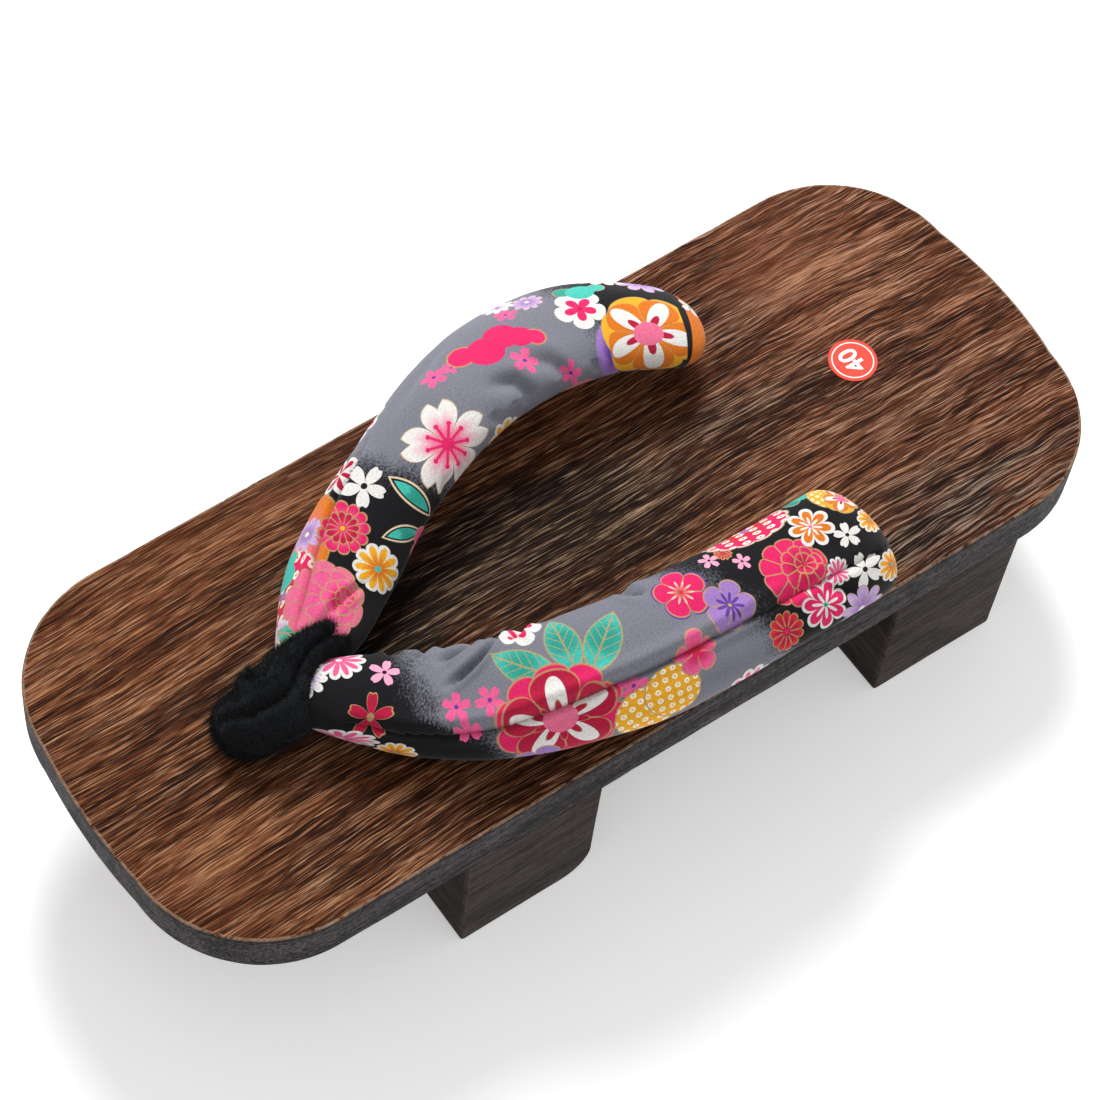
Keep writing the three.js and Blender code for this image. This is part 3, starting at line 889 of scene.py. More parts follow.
def cotton_material(name, grey_from, grey_to, skew, tuck):
    """Printed cotton: black ground that turns to lavender grey between two places along the strap."""
    material, nodes, shader = new_material(
        name, Sheen_Weight=0.12, Sheen_Roughness=0.5, Specular_IOR_Level=0.12, Roughness=0.85)
    cloth = nodes.attribute("cloth")["Vector"]
    along, around, _ = nodes.split(cloth)
    speckle = nodes.noise(cloth, (2.0, 1.4, 2.0), roughness=0.8)
    cloudy = nodes.noise(cloth, 0.16, detail=1.0)
    place = around * skew + along + (speckle * 20.0 + cloudy * 8.0 - 14.0)
    place = place - nodes.step(around, -6.5, -9.0) * nodes.step(along, 62.0, 52.0) * tuck
    opening = nodes.step(place, grey_from - 5.0, grey_from + 5.0)
    closing = nodes.step(place, grey_to - 5.0, grey_to + 5.0)
    colour = nodes.mix(opening * (1.0 - closing), "101013", "74757f")
    for k in range(LAYERS):
        spot, outer, inner, heart = (
            nodes.attribute(f"{mark}_{k}") for mark in ("spot", "outer", "inner", "heart"))
        colour = nodes.group(
            BLOSSOM, Under=colour, Spot=spot["Color"], Line=spot["Alpha"], Outer=outer["Color"],
            Waist=outer["Alpha"], Inner=inner["Color"], Round=inner["Alpha"], Heart=heart["Color"],
            Notch=heart["Alpha"])["Color"]
    weave = nodes.group(WEAVE, Cloth=cloth)
    shade = weave["Shade"] * 0.36 + 0.80
    colour = nodes.mix(1.0, colour, nodes.join(shade, shade, shade), blend="MULTIPLY")
    nodes.feed(shader, Base_Color=colour, Normal=nodes.bump(weave["Height"], 0.5, 0.10 * MM))
    return material


# The inks of the print.
INK = {name: srgb(code) for name, code in {
    "magenta": "d4215f", "pink": "de598b", "pale": "e39cb9", "white": "dad7d3",
    "crimson": "aa153a", "red": "c42937", "yellow": "e3a424", "orange": "cf6f1b",
    "teal": "41b3a4", "sea": "2b9282", "lavender": "9773b4", "purple": "5f3a8e",
    "lilac": "bfa6cf", "gold": "a68a5c", "black": "101013", "rose": "dc698b",
    "cream": "d9c3a0",
}.items()}


def rosette(size, petals, waist, tip, inks, line=0.0, notch=0.0, at=(0.0, 0.0)):
    """One layer of a motif: its share of the motif's size, its petals, how far in their gaps reach, how
    square their tips are, its inks from the tips over the middle to the heart, its gold line in
    millimetres, the nick in each tip, and its place in the motif."""
    inks = inks.split()
    inks += inks[-1:] * (3 - len(inks))
    return size, petals, waist, tip, inks, line, notch, at


# Each kind of motif is one or more rosettes, laid from the bottom up. One petal makes a leaf, and a
# notch below 0 a cloud of dots.
MOTIFS = {
    "cherry": [rosette(1.0, 5, 0.30, 0.38, "white rose magenta", 0.32, notch=0.22)],
    "plum_magenta": [
        rosette(1.0, 5, 0.60, 0.42, "purple"),
        rosette(0.94, 5, 0.62, 0.42, "magenta magenta red", 0.32),
        rosette(0.46, 10, 0.10, 3.0, "cream red")],
    "plum_pink": [rosette(1.0, 5, 0.62, 0.42, "pink magenta red", 0.32)],
    "plum_lavender": [
        rosette(1.0, 5, 0.55, 0.42, "lavender lavender purple", 0.32),
        rosette(0.5, 9, 0.2, 1.6, "purple purple gold")],
    "tiny_pink": [rosette(1.0, 5, 0.12, 0.7, "pink pink purple", notch=0.12)],
    "tiny_pale": [rosette(1.0, 5, 0.10, 0.9, "pale pale black", notch=0.08)],
    "loose_white": [rosette(1.0, 5, 0.10, 0.75, "white white black", notch=0.13)],
    "loose_crimson": [rosette(1.0, 5, 0.04, 1.3, "crimson crimson gold", 0.3, notch=0.12)],
    "red_white": [
        rosette(1.0, 6, 0.35, 0.6, "white"),
        rosette(0.82, 6, 0.04, 2.4, "crimson crimson white")],
    "white_pink": [
        rosette(1.0, 5, 0.55, 0.42, "white"),
        rosette(0.62, 5, 0.35, 1.0, "magenta magenta crimson")],
    "aster_white": [rosette(1.0, 9, 0.45, 0.5, "white lilac purple")],
    "aster_lilac": [rosette(1.0, 9, 0.5, 0.5, "lilac lavender white", 0.2)],
    "mum_yellow": [
        rosette(1.0, 10, 0.78, 0.5, "white"),
        rosette(0.90, 10, 0.30, 0.7, "yellow orange teal")],
    "mum_magenta": [
        rosette(1.0, 12, 0.76, 0.45, "magenta rose yellow", 0.35),
        rosette(0.62, 12, 0.60, 0.5, "crimson magenta yellow", 0.25)],
    "mum_pink": [
        rosette(1.0, 11, 0.72, 0.5, "white"),
        rosette(0.86, 11, 0.20, 0.9, "pink pink white")],
    "mum_red": [
        rosette(1.0, 11, 0.70, 0.45, "red crimson magenta", 0.3),
        rosette(0.75, 11, 0.10, 2.0, "crimson crimson magenta")],
    "orange_white": [
        rosette(1.0, 7, 0.50, 0.5, "white"),
        rosette(0.84, 7, 0.22, 0.7, "orange orange pink"),
        rosette(0.50, 7, 0.04, 3.0, "white white pink")],
    "magenta_white": [
        rosette(1.0, 7, 0.55, 0.5, "white"),
        rosette(0.88, 7, 0.36, 0.6, "magenta magenta sea"),
        rosette(0.56, 7, 0.04, 3.0, "white white sea")],
    "peony": [
        rosette(1.0, 10, 0.88, 0.45, "rose pink", 0.3),
        rosette(0.72, 9, 0.86, 0.45, "pink", 0.3, at=(-0.18, -0.12)),
        rosette(0.46, 7, 0.84, 0.45, "pink magenta", 0.3, at=(-0.34, -0.26)),
        rosette(0.24, 6, 0.84, 0.45, "magenta pink", 0.3, at=(-0.42, -0.34))],
    "dark_peony": [
        rosette(1.0, 10, 0.86, 0.45, "magenta", 0.32),
        rosette(0.62, 9, 0.84, 0.45, "magenta crimson magenta", 0.32, at=(0.26, 0.0)),
        rosette(0.32, 7, 0.84, 0.45, "magenta crimson magenta", 0.3, at=(0.40, 0.05))],
    "camellia": [
        rosette(1.0, 10, 0.82, 0.42, "magenta crimson rose", 0.42),
        rosette(0.90, 5, 0.56, 0.42, "crimson crimson rose", 0.38),
        rosette(0.78, 5, 0.04, 1.9, "white white rose"),
        rosette(0.44, 10, 0.24, 1.2, "crimson crimson rose", 0.25),
        rosette(0.26, 12, 0.96, 0.5, "rose")],
    "big_orange": [
        rosette(1.0, 6, 0.84, 0.45, "yellow yellow orange", 0.25),
        rosette(0.92, 5, 0.60, 0.42, "orange orange pink", 0.2),
        rosette(0.88, 5, 0.04, 1.5, "white white pink", 0.2),
        rosette(0.46, 5, 0.04, 3.0, "crimson crimson pink"),
        rosette(0.26, 12, 0.96, 0.5, "rose")],
    "leaf": [rosette(1.0, 1, 0.50, 1, "teal sea", 0.34)],
    "slim_leaf": [
        rosette(1.0, 1, 0.34, 1, "cream"),
        rosette(0.90, 1, 0.30, 1, "black"),
        rosette(0.76, 1, 0.28, 1, "teal sea")],
    "cloud_magenta": [
        rosette(0.32, 9, 0.97, 0.5, "magenta", 0.32, at=(-0.74, -0.20)),
        rosette(0.26, 9, 0.97, 0.5, "magenta", 0.32, at=(0.86, 0.20)),
        rosette(0.42, 9, 0.97, 0.5, "magenta", at=(-0.28, 0.04)),
        rosette(0.38, 9, 0.97, 0.5, "magenta", at=(0.22, -0.14)),
        rosette(0.30, 9, 0.97, 0.5, "magenta", at=(0.56, 0.06))],
    "cloud_teal": [
        rosette(0.40, 9, 0.97, 0.5, "sea", 0.2, at=(-0.60, -0.12)),
        rosette(0.34, 9, 0.97, 0.5, "teal", 0.2, at=(0.66, -0.10)),
        rosette(0.56, 9, 0.97, 0.5, "teal", at=(0.0, 0.10))],
    "cloud_yellow": [rosette(1.0, 12, 0.97, 0.5, "yellow", 0.3, notch=-0.5)],
    "cloud_purple": [rosette(1.0, 12, 0.97, 0.5, "lavender purple")],
    "cloud_orange": [rosette(1.0, 12, 0.97, 0.5, "orange rose pink", 0.3)],
    "hem_black": [rosette(1.0, 12, 0.97, 0.5, "black")],
    "hem_orange": [rosette(1.0, 12, 0.97, 0.5, "orange")],
    "fan": [
        rosette(1.0, 14, 0.92, 0.5, "white", 0.3),
        rosette(0.93, 14, 0.90, 0.5, "magenta red lavender", notch=-0.5)],
}

# The print of each strap: motif, millimetres from the front, degrees from the pad's top line towards
# the middle of the board and size in millimetres. Where they aren't 0 and 1, its turn in degrees and
# its length over its width follow.
RIGHT_PRINT = (
    ("cloud_orange", 24, -58, 12, 0, 1.9),
    ("fan", 15, -66, 9, 10, 1.8),
    ("cloud_teal", 20, -78, 6, 20, 1.2),
    ("aster_lilac", 30, -54, 4.5),
    ("aster_white", 6, -50, 4.0),
    ("leaf", 5, -26, 5, 100),
    ("peony", 15, -2, 9.6, 200),
    ("mum_magenta", 33, -8, 6.4, 8),
    ("mum_yellow", 27.5, 44, 6.0),
    ("red_white", 45, -50, 5.2, 20),
    ("loose_white", 44, -5, 5.6, 15),
    ("slim_leaf", 47.5, 47, 7.2, 97),
    ("slim_leaf", 38.5, 60, 6.0, 50),
    ("cherry", 61.5, 51, 11.3, 20),
    ("tiny_pink", 73, -13, 3.2),
    ("tiny_pink", 77, -6, 2.2, 40),
    ("cloud_magenta", 88, 6, 10.6, 8),
    ("tiny_pink", 90, 38, 3.9, 25),
    ("tiny_pink", 101, 76, 3.6),
    ("tiny_pink", 96, -22, 2.8, 10),
    ("aster_lilac", 102, -28, 3.6),
    ("aster_white", 97, -45, 3.4),
    ("white_pink", 111, 2, 6.2, 25),
    ("cloud_teal", 113, -26, 5.4),
    ("cloud_purple", 116, 60, 6.2, 100, 1.5),
    ("aster_lilac", 127, -52, 6.5),
    ("aster_white", 119, -62, 5.0),
    ("big_orange", 125, 43, 11.3, 8),
    ("hem_black", 142, 30, 17, 0, 0.32),
    ("hem_orange", 137.6, 34, 13, 0, 0.055),
    ("loose_white", 137, -8, 3.4),
    ("mum_pink", 60, -95, 8.0),
    ("plum_lavender", 85, -110, 6.0),
    ("mum_yellow", 75, 125, 6.0),
    ("plum_pink", 40, 120, 6.0),
    ("peony", 105, 140, 8.0),
)
LEFT_PRINT = (
    ("aster_white", 1.5, 16, 4.4),
    ("mum_pink", 8, 50, 6.0),
    ("tiny_pale", 18, 20, 3.8, 10),
    ("loose_crimson", 16, -36, 5.8, 90),
    ("mum_pink", 10, -92, 5.0, 0, 3.2),
    ("mum_yellow", 22, -92, 3.8, 0, 1.4),
    ("tiny_pink", 35, -17, 3.4, 20),
    ("tiny_pink", 42, -11, 3.4, 50),
    ("tiny_pink", 37, -38, 3.2, 30),
    ("leaf", 50.5, 16, 8.2, 150),
    ("leaf", 59.5, 30, 7.8, 98),
    ("leaf", 67.5, 20, 8.0, 50),
    ("camellia", 55, -38, 12.8, 18, 1.12),
    ("white_pink", 51, 68, 5.5),
    ("tiny_pink", 70, -26, 3.2),
    ("cloud_yellow", 71, -60, 6.4, 30, 1.1),
    ("cloud_yellow", 77, -46, 6.0),
    ("plum_pink", 84, -20, 5.4, 15),
    ("plum_magenta", 88, 33, 6.8, 10),
    ("tiny_pale", 99, 50, 2.7),
    ("tiny_pale", 105, 30, 2.4),
    ("plum_lavender", 95.5, 2, 6.0, 50),
    ("mum_red", 103, 50, 2.2),
    ("fan", 112, 70, 8.0, -8, 2.2),
    ("dark_peony", 114, -2, 8.2),
    ("mum_red", 106, -50, 4.8),
    ("magenta_white", 117, -46, 5.9),
    ("orange_white", 124, 26, 5.4, 15),
    ("mum_pink", 123, -21, 3.3),
    ("loose_white", 129, -34, 4.4, 20),
    ("loose_white", 129.5, 2, 3.2),
    ("aster_lilac", 126, -84, 6.0),
    ("cloud_teal", 130, 84, 6.0),
    ("cloud_yellow", 134, 52, 5.0),
    ("big_orange", 135, 36, 4.5),
    ("mum_yellow", 136, 2, 3.2),
    ("mum_yellow", 135, -48, 3.6),
    ("plum_pink", 60, 120, 6.0),
    ("mum_magenta", 85, 140, 6.5),
    ("peony", 40, 130, 7.5),
    ("plum_lavender", 50, -110, 6.0),
    ("mum_pink", 95, -110, 6.5),
)


def cloth_corners(mesh, tube):
    """For each corner of each face: its face, and its place along and around the cloth.

    A face that crosses the seam keeps its corners together, on the side of its first one."""
    loops = np.zeros(len(mesh.loops), np.int64)
    starts, totals = np.zeros((2, len(mesh.polygons)), np.int64)
    mesh.loops.foreach_get("vertex_index", loops)
    mesh.polygons.foreach_get("loop_start", starts)
    mesh.polygons.foreach_get("loop_total", totals)
    owner = np.repeat(np.arange(len(totals)), totals)
    along = tube.along.reshape(-1)[loops]
    around = tube.around.reshape(-1)[loops]
    girth = np.repeat(tube.girth, tube.along.shape[1])[loops]
    around = around - girth * np.round((around - around[starts][owner]) / girth)
    return owner, along, around


def print_cloth(mesh, tube, chart):
    """Writes the print onto the mesh: each face keeps its own motifs, from the lowest up."""
    owner, along, around = cloth_corners(mesh, tube)
    corners = np.bincount(owner)
    face_along = np.bincount(owner, along) / corners
    face_around = np.bincount(owner, around) / corners
    face_girth = np.interp(face_along, tube.along[:, 0], tube.girth)
    spots = np.full((LAYERS, len(owner), 4), (9.0, 9.0, 5.0, 0.0))
    outers, inners, hearts = np.zeros((3, LAYERS, len(corners), 4))
    stack = np.zeros(len(corners), np.int64)
    for kind, at, degrees, motif_size, *shape in chart:
        turn, stretch = shape + [0, 1.0][len(shape):]
        centre = tube.place_on_cloth(at, degrees)
        cosine, sine = math.cos(math.radians(turn)), math.sin(math.radians(turn))
        wraps = face_girth * np.round((face_around - centre) / face_girth)
        for share, petals, waist, tip, inks, line, notch, (ahead, aside) in MOTIFS[kind]:
            size = motif_size * share
            long_way, cross_way = size * stretch ** 0.5, size / stretch ** 0.5
            shift_along = motif_size * (ahead * cosine - aside * sine)
            shift_around = motif_size * (ahead * sine + aside * cosine)

            def own_place(a, r):
                da = a - at - shift_along
                dr = r - centre - shift_around
                return (da * cosine + dr * sine) / long_way, (dr * cosine - da * sine) / cross_way

            x, y = own_place(face_along, face_around - wraps)
            margin = FACE_REACH / cross_way
            faces = (corners == 4) & (np.hypot(x, y) < 1.0 + margin) & (stack < LAYERS)
            if petals == 1:
                faces &= np.abs(y) < waist + margin
            touched = np.flatnonzero(faces[owner])
            x, y = own_place(along[touched], (around - wraps[owner])[touched])
            spots[stack[owner[touched]], touched] = np.column_stack(
                [x, y, np.full(len(x), petals), np.full(len(x), line / size)])
            chosen = np.flatnonzero(faces)
            for marks, ink, value in zip((outers, inners, hearts), inks, (waist, tip, notch)):
                marks[stack[chosen], chosen] = (*INK[ink][:3], value)
            stack[chosen] += 1
    cloth = mesh.attributes.new("cloth", "FLOAT_VECTOR", "CORNER")
    cloth.data.foreach_set("vector", np.column_stack([along, around, 0 * along]).astype(np.float32).ravel())
    for k in range(LAYERS):
        for label, values in (("spot", spots), ("outer", outers), ("inner", inners), ("heart", hearts)):
            domain = "CORNER" if label == "spot" else "FACE"
            layer = mesh.attributes.new(f"{label}_{k}", "FLOAT_COLOR", domain)
            layer.data.foreach_set("color", values[k].astype(np.float32).ravel())


# Creases of each strap: depth, width and lip in millimetres, then the path as millimetres from the
# front and degrees from the pad's top line. With a lip it is a sharp fold, and one side stands proud.
RIGHT_CREASES = (
    (3.0, 0.9, 0.9, ((2, -22), (12, -23), (24, -26), (34, -30), (44, -33), (54, -38))),
    (1.9, 1.9, 0, ((83, 100), (85, 76), (84, 54), (78, 36))),
    (1.5, 2.2, 0, ((98, 104), (99, 76), (96, 52), (90, 36))),
    (0.8, 1.6, 0, ((74, 90), (74, 64))),
    (0.9, 1.5, 0, ((110, 92), (110, 64))),
    (1.6, 0.8, 0.5, ((23, 36), (19, 24), (15, 14), (10, 8))),
    (0.8, 1.8, 0, ((60, -20), (70, -35), (84, -45))),
    (1.0, 2.0, 0, ((55, 100), (54, 75))),
)
LEFT_CREASES = (
    (4.2, 1.1, 2.0, ((12, -50), (24, -46), (34, -40), (44, -32), (54, -22), (66, -15), (78, -12), (90, -13),
                     (102, -15), (114, -18), (122, -20), (132, -24))),
    (3.8, 0.8, 1.6, ((46, 88), (45, 66), (43, 48), (40, 32), (36, 16), (33, 4))),
    (3.2, 1.0, 0.8, ((40, 92), (38, 70), (35, 52), (31, 36))),
    (3.0, 1.0, 0.5, ((28, 88), (27, 66), (25, 48))),
    (3.2, 1.1, 0.8, ((53, 92), (51, 72), (49, 56))),
    (2.0, 1.3, 0, ((20, 88), (19, 62))),
    (2.2, 1.4, 0.5, ((78, 92), (79, 70), (82, 54))),
    (1.0, 1.6, 0, ((121, 8), (114, -8), (108, -14))),
    (1.0, 1.5, 0, ((126, -60), (121, -36), (118, -28))),
)


STRAP_RINGS = 290
STRAP_SIDES = 180

# The grey stretch of each strap: where it starts and ends along it in millimetres, how far its ends
# slant around it, and how far it starts later under the fold.
RIGHT_GREY = (50, 111, -0.35, 0)
LEFT_GREY = (27, 97, 0.5, 10)


def make_strap(name, rows, side, creases, chart, grey, seed):
    """One padded strap with its creases and its print; side is 1 to the right and -1 to the left."""
    tube = PaddedTube(rows, side, STRAP_RINGS, STRAP_SIDES, STRAP_FRONT_CAP, STRAP_REAR_CAP)
    tube.press(creases)
    tube.roughen(14, 0.35, seed)
    tube.roughen(5, 0.10, seed + 4)
    tube.settle()
    mesh = tube.mesh(name, cotton_material(name + "_cotton", *grey))
    print_cloth(mesh, tube, chart)
    piece = add_piece(name, mesh)
    return piece


# Toe thong

def pile_material():
    material, nodes, shader = new_material(
        "black_pile", Sheen_Weight=0.25, Sheen_Roughness=0.5, Sheen_Tint="6a6c72", Specular_IOR_Level=0.1,
        Roughness=0.95)
    place = nodes.millimetres()
    tufts = nodes.noise(place, 1.6, detail=3.0, roughness=0.7)
    lint = nodes.step(nodes.noise(place, 3.5, detail=1.0), 0.70, 0.78)
    colour = nodes.ramp(tufts, (0.3, "08090a"), (0.7, "1f2123"))
    colour = nodes.mix(lint * 0.15, colour, "70757a")
    nodes.feed(shader, Base_Color=colour, Normal=nodes.bump(tufts, 0.8, 0.5 * MM))
    return material


PILE = pile_material()

THONG_RINGS = 90
THONG_SIDES = 72
FIBRE_COUNT = 26000
FIBRE_LENGTHS_MM = (0.8, 2.1)
FIBRE_HALF_WIDTH = 0.055 * MM

# The creases of the thong, in the same way as those of the straps.
THONG_CREASES = (
    (2.0, 1.2, 0, ((2, 4), (14, 2), (26, 0), (40, 0))),
    (0.8, 1.2, 0, ((10, 60), (20, 66), (30, 70))),
    (0.8, 1.2, 0, ((10, -60), (20, -66), (30, -70))),
)


def make_thong():
    """The padded toe thong and its pile."""
    tube = PaddedTube(TOE_THONG, 1, THONG_RINGS, THONG_SIDES, THONG_CAP, THONG_CAP, upright_ends=True)
    tube.press(THONG_CREASES)
    tube.roughen(5, 0.55, 21.0)
    tube.roughen(2, 0.2, 27.0)
    tube.settle()
    piece = add_piece("toe_thong_pad", tube.mesh("toe_thong", PILE))
    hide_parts("toe_thong")
    return piece, make_pile(tube)


def make_pile(tube):
    """Short fibres that stand out of the thong."""
    random = np.random.default_rng(5)
    rings, sides = tube.along.shape
    i = random.integers(2, rings - 3, FIBRE_COUNT)
    j = random.integers(0, sides, FIBRE_COUNT)
    root = tube.points[i, j] + (tube.points[i + 1, j] - tube.points[i, j]) * random.random((FIBRE_COUNT, 1))
    lean = random.normal(0, 0.6, (FIBRE_COUNT, 3))
    lean[:, 1] -= 0.35
    direction = unit(tube.normals[i, j] + lean)
    length = random.uniform(*FIBRE_LENGTHS_MM, (FIBRE_COUNT, 1)) * MM
    across = unit(np.cross(direction, random.normal(0, 1, (FIBRE_COUNT, 3)))) * FIBRE_HALF_WIDTH
    points = np.stack([root - across, root + across, root + direction * length], axis=1)
    points[..., 2] = np.maximum(points[..., 2], BOARD_TOP + 0.1 * MM)
    faces = [(3 * k, 3 * k + 1, 3 * k + 2) for k in range(FIBRE_COUNT)]
    piece = add_piece("toe_thong_pile", mesh_from("toe_thong_pile", points.reshape(-1, 3), faces, PILE))
    return piece


# Cords and knots under the board

def cord_material():
    material, nodes, shader = new_material("twisted_cord", Sheen_Weight=0.3, Roughness=0.9)
    strands = nodes.noise(nodes.millimetres(), (2.2, 2.2, 0.8), detail=3.0)
    nodes.feed(shader, Base_Color=nodes.ramp(strands, (0.35, "17171a"), (0.65, "3a3a40")),
               Normal=nodes.bump(strands, 0.6, 0.3 * MM))
    return material


CORD = cord_material()

KNOT_DROP = 5.2 * MM
KNOT_SIZE = 1.55 * MM
KNOT_DEPTH = 1.9 * MM
KNOT_CORD_RADIUS = 1.95 * MM
CORD_ABOVE_BOARD = 1 * MM
CORD_PLAY = 0.9 * MM
CORD_TWIST = 0.35 * MM


def make_knot(name, hole):
    """The cord that comes down through a hole and its plain overhand knot."""
    x, y, radius = hole
    middle = BOARD_UNDERSIDE - KNOT_DROP
    t = np.linspace(0, 2 * np.pi, 140, endpoint=False)
    loop = np.column_stack([
        x + KNOT_SIZE * (np.sin(t) + 2 * np.sin(2 * t)),
        y + KNOT_SIZE * (np.cos(t) - 2 * np.cos(2 * t)),
        middle - KNOT_DEPTH * np.sin(3 * t),
    ])
    heights = np.linspace(BOARD_TOP + CORD_ABOVE_BOARD, middle, 24)
    drop = np.column_stack([np.full(24, x), np.full(24, y), heights])
    return (tube_along(name + "_knot", loop, KNOT_CORD_RADIUS, closed=True),
            tube_along(name + "_cord", drop, radius - CORD_PLAY, closed=False, twist=CORD_TWIST))


def tube_along(name, path, radius, closed, twist=0.0, sides=20):
    """A cord along the path, with three strands that wind around it where it has a twist."""
    ahead = np.roll(path, -1, axis=0) - np.roll(path, 1, axis=0)
    if not closed:
        ahead[0], ahead[-1] = path[1] - path[0], path[-1] - path[-2]
    ahead = unit(ahead)
    first = unit(np.cross(ahead, (0.31, 0.95, 0.05)))
    second = np.cross(ahead, first)
    angle = 2 * np.pi * np.arange(sides) / sides
    points = []
    for i, centre in enumerate(path):
        strands = radius + twist * np.abs(np.cos(1.5 * (angle + i * 0.35))) - twist
        ring = np.outer(np.cos(angle) * strands, first[i]) + np.outer(np.sin(angle) * strands, second[i])
        points.append(centre + ring)
    mesh = mesh_from(name, np.vstack(points), ring_faces(len(path), sides, closed), CORD)
    outward(mesh)
    return add_piece(name, mesh)


# Size label

LABEL_PLACE = (2.8 * MM, -83.9 * MM)
LABEL_RADIUS = 5.9 * MM
LABEL_THICK = 0.14 * MM
LABEL_LOW = BOARD_TOP + 0.03 * MM
LABEL_TOP = LABEL_LOW + LABEL_THICK
INK_THICK = 0.03 * MM
RING_INNER = 4.80 * MM
RING_OUTER = 5.10 * MM
NUMBER_SIZE = 6.6 * MM


def paper_material(name, code):
    material, nodes, shader = new_material(name, Specular_IOR_Level=0.2)
    cloudy = nodes.noise(nodes.millimetres(), 0.8, detail=3.0)
    paler = tuple(min(1.0, c * 1.12 + 0.01) for c in srgb(code))
    nodes.feed(shader, Base_Color=nodes.mix(cloudy, code, paler), Roughness=cloudy * 0.2 + 0.35,
               Normal=nodes.bump(cloudy, 0.15, 0.05 * MM))
    return material


def disc(name, inner, outer, low, high, finish):
    """A flat disc or ring of the label, with soft upper edges."""
    x, y = LABEL_PLACE
    soft = 0.03 * MM
    rows = [(inner, low), (outer, low), (outer, high - soft), (outer - soft, high), (inner, high)]
    steps = 96
    angle = 2 * np.pi * np.arange(steps) / steps
    points = []
    for radius, z in rows:
        radius = max(radius, 0.02 * MM)
        points += [(x + radius * math.cos(a), y + radius * math.sin(a), z) for a in angle]
    mesh = mesh_from(name, points, ring_faces(len(rows), steps, closed=True), finish)
    outward(mesh)
    piece = add_piece(name, mesh, smooth=False)
    return piece


def make_number(finish):
    """The plain size number on the label."""
    text = bpy.data.curves.new("size_number", "FONT")
    text.body = "40"
    text.size = NUMBER_SIZE
    text.align_x = "CENTER"
    text.align_y = "CENTER"
    text.extrude = 0.02 * MM
    text.offset = 0.12 * MM
    text.resolution_u = 6
    outline = add_object("size_number_outline", text)
    outline.location = (*LABEL_PLACE, LABEL_TOP + 0.02 * MM)
    bpy.context.view_layer.update()
    mesh = settled_mesh(outline)
    mesh.transform(outline.matrix_world)
    bpy.data.objects.remove(outline)
    mesh.materials.clear()
    mesh.materials.append(finish)
    number = add_piece("size_number", mesh, smooth=False)
    return number


def make_label():
    coral = paper_material("coral_paper", "d83a26")
    white = paper_material("white_print", "f4e9e2")
    return (disc("size_label", 0.0, LABEL_RADIUS, LABEL_LOW, LABEL_TOP, coral),
            disc("size_label_ring", RING_INNER, RING_OUTER, LABEL_TOP, LABEL_TOP + INK_THICK, white),
            make_number(white))


# Stage

CAMERA_LENS = 105.8
CAMERA_AIM = (-0.6 * MM, 6.1 * MM, BOARD_TOP)
CAMERA_DISTANCE = 726.5 * MM
CAMERA_AZIMUTH = math.radians(227.55)
CAMERA_ELEVATION = math.radians(58.76)
CAMERA_ROLL = math.radians(8.1)
FLOOR_REACH = 8
LIGHT_AIM = (0, 0, 30 * MM)


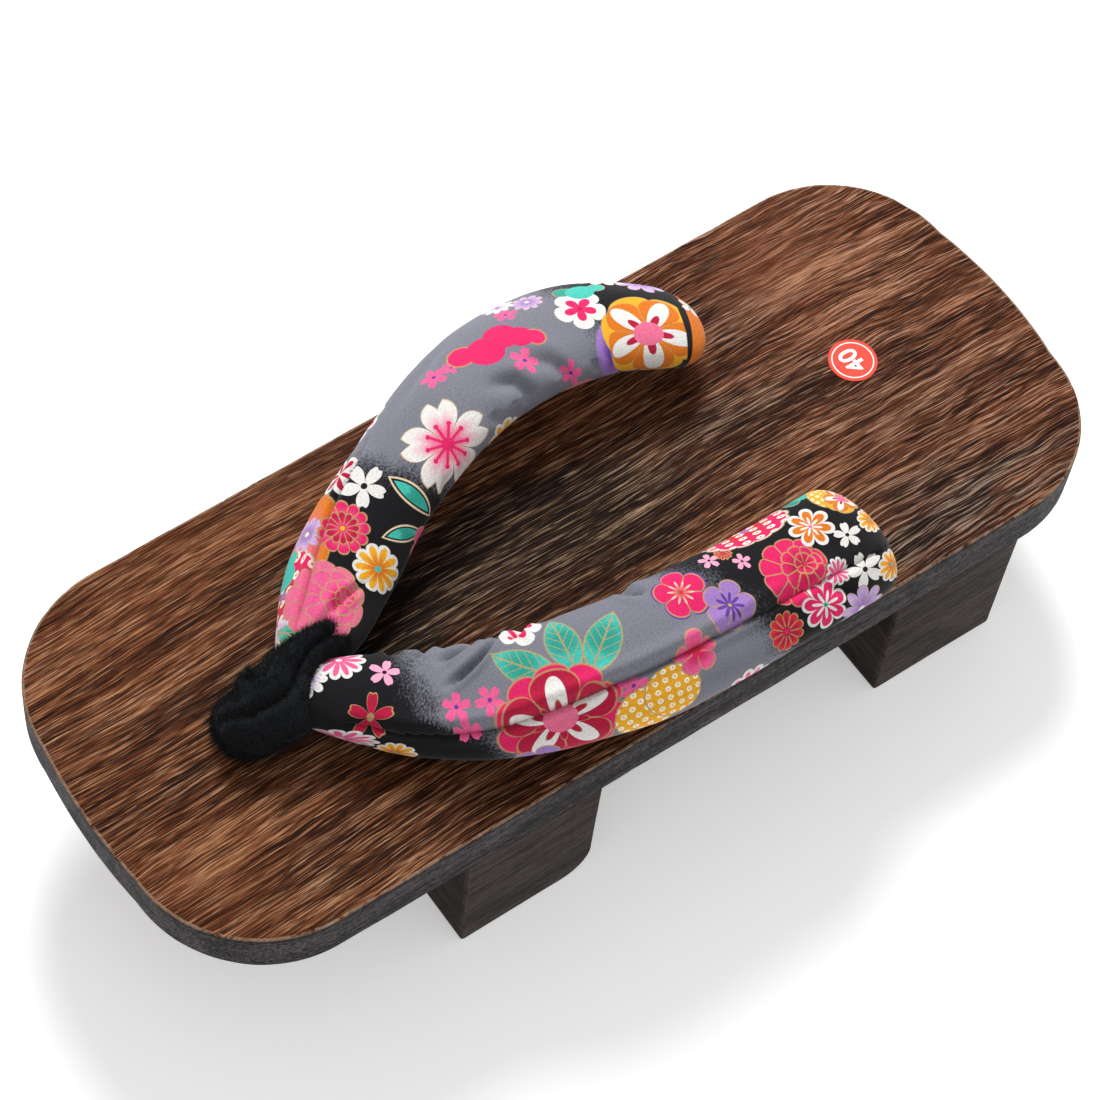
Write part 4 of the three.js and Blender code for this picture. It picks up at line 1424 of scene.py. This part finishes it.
def make_camera():
    data = bpy.data.cameras.new("camera")
    data.lens = CAMERA_LENS
    data.sensor_width = 36.0
    data.clip_start = 0.01
    camera = add_object("camera", data)
    level = math.cos(CAMERA_ELEVATION)
    back = Vector((math.sin(CAMERA_AZIMUTH) * level, -math.cos(CAMERA_AZIMUTH) * level,
                   math.sin(CAMERA_ELEVATION)))
    place = Vector(CAMERA_AIM) + back * CAMERA_DISTANCE
    turn = (-back).to_track_quat("-Z", "Y").to_matrix().to_4x4()
    camera.matrix_world = Matrix.Translation(place) @ turn @ Matrix.Rotation(CAMERA_ROLL, 4, "Z")
    bpy.context.scene.camera = camera


def make_floor():
    material, nodes, shader = new_material(
        "pale_floor", Roughness=0.95, Specular_IOR_Level=0.1, Emission_Color="ffffff", Emission_Strength=0.3)
    place = nodes.outputs(nodes.add("ShaderNodeTexCoord"))["Object"]
    nodes.feed(shader, Base_Color=nodes.mix(nodes.noise(place, 6.0), "f4f4f4", "f8f8f8"))
    corners = [(x * FLOOR_REACH, y * FLOOR_REACH, 0) for x, y in ((-1, -1), (1, -1), (1, 1), (-1, 1))]
    floor = add_piece("floor", mesh_from("floor", corners, [(0, 1, 2, 3)], material), smooth=False)


def make_light(name, place, size, power):
    data = bpy.data.lights.new(name, "AREA")
    data.shape = "DISK"
    data.size = size
    data.energy = power
    light = add_object(name, data)
    light.location = place
    to_sandal = Vector(LIGHT_AIM) - Vector(place)
    light.rotation_euler = to_sandal.to_track_quat("-Z", "Y").to_euler()


def light_scene():
    world = bpy.data.worlds.new("studio")
    world.use_nodes = True
    Nodes(world.node_tree).feed(world.node_tree.nodes["Background"], Color=(1, 1, 1, 1), Strength=0.56)
    bpy.context.scene.world = world
    make_light("key_light", place=(0.60, -0.32, 0.85), size=0.42, power=11.5)
    make_light("fill_light", place=(-0.7, 0.2, 0.9), size=0.9, power=1.5)
    bpy.context.scene.view_settings.view_transform = "Standard"


def build():
    make_camera()
    make_floor()
    light_scene()
    pieces = [make_board(), make_tooth("front_tooth", 8 * MM), make_tooth("rear_tooth", 0.0)]
    right = make_strap("strap_right", RIGHT_STRAP, 1, RIGHT_CREASES, RIGHT_PRINT, RIGHT_GREY, 2.0)
    left = make_strap("strap_left", LEFT_STRAP, -1, LEFT_CREASES, LEFT_PRINT, LEFT_GREY, 7.0)
    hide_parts("straps")
    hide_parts("straps")
    pieces += [right, left, *make_thong()]
    for name, hole in zip(("toe", "right_heel", "left_heel"), (TOE_HOLE, *HEEL_HOLES)):
        for piece in make_knot(name, hole):
            pieces.append(piece)
    pieces += make_label()
    for piece in pieces:
        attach(piece, "root")


build()
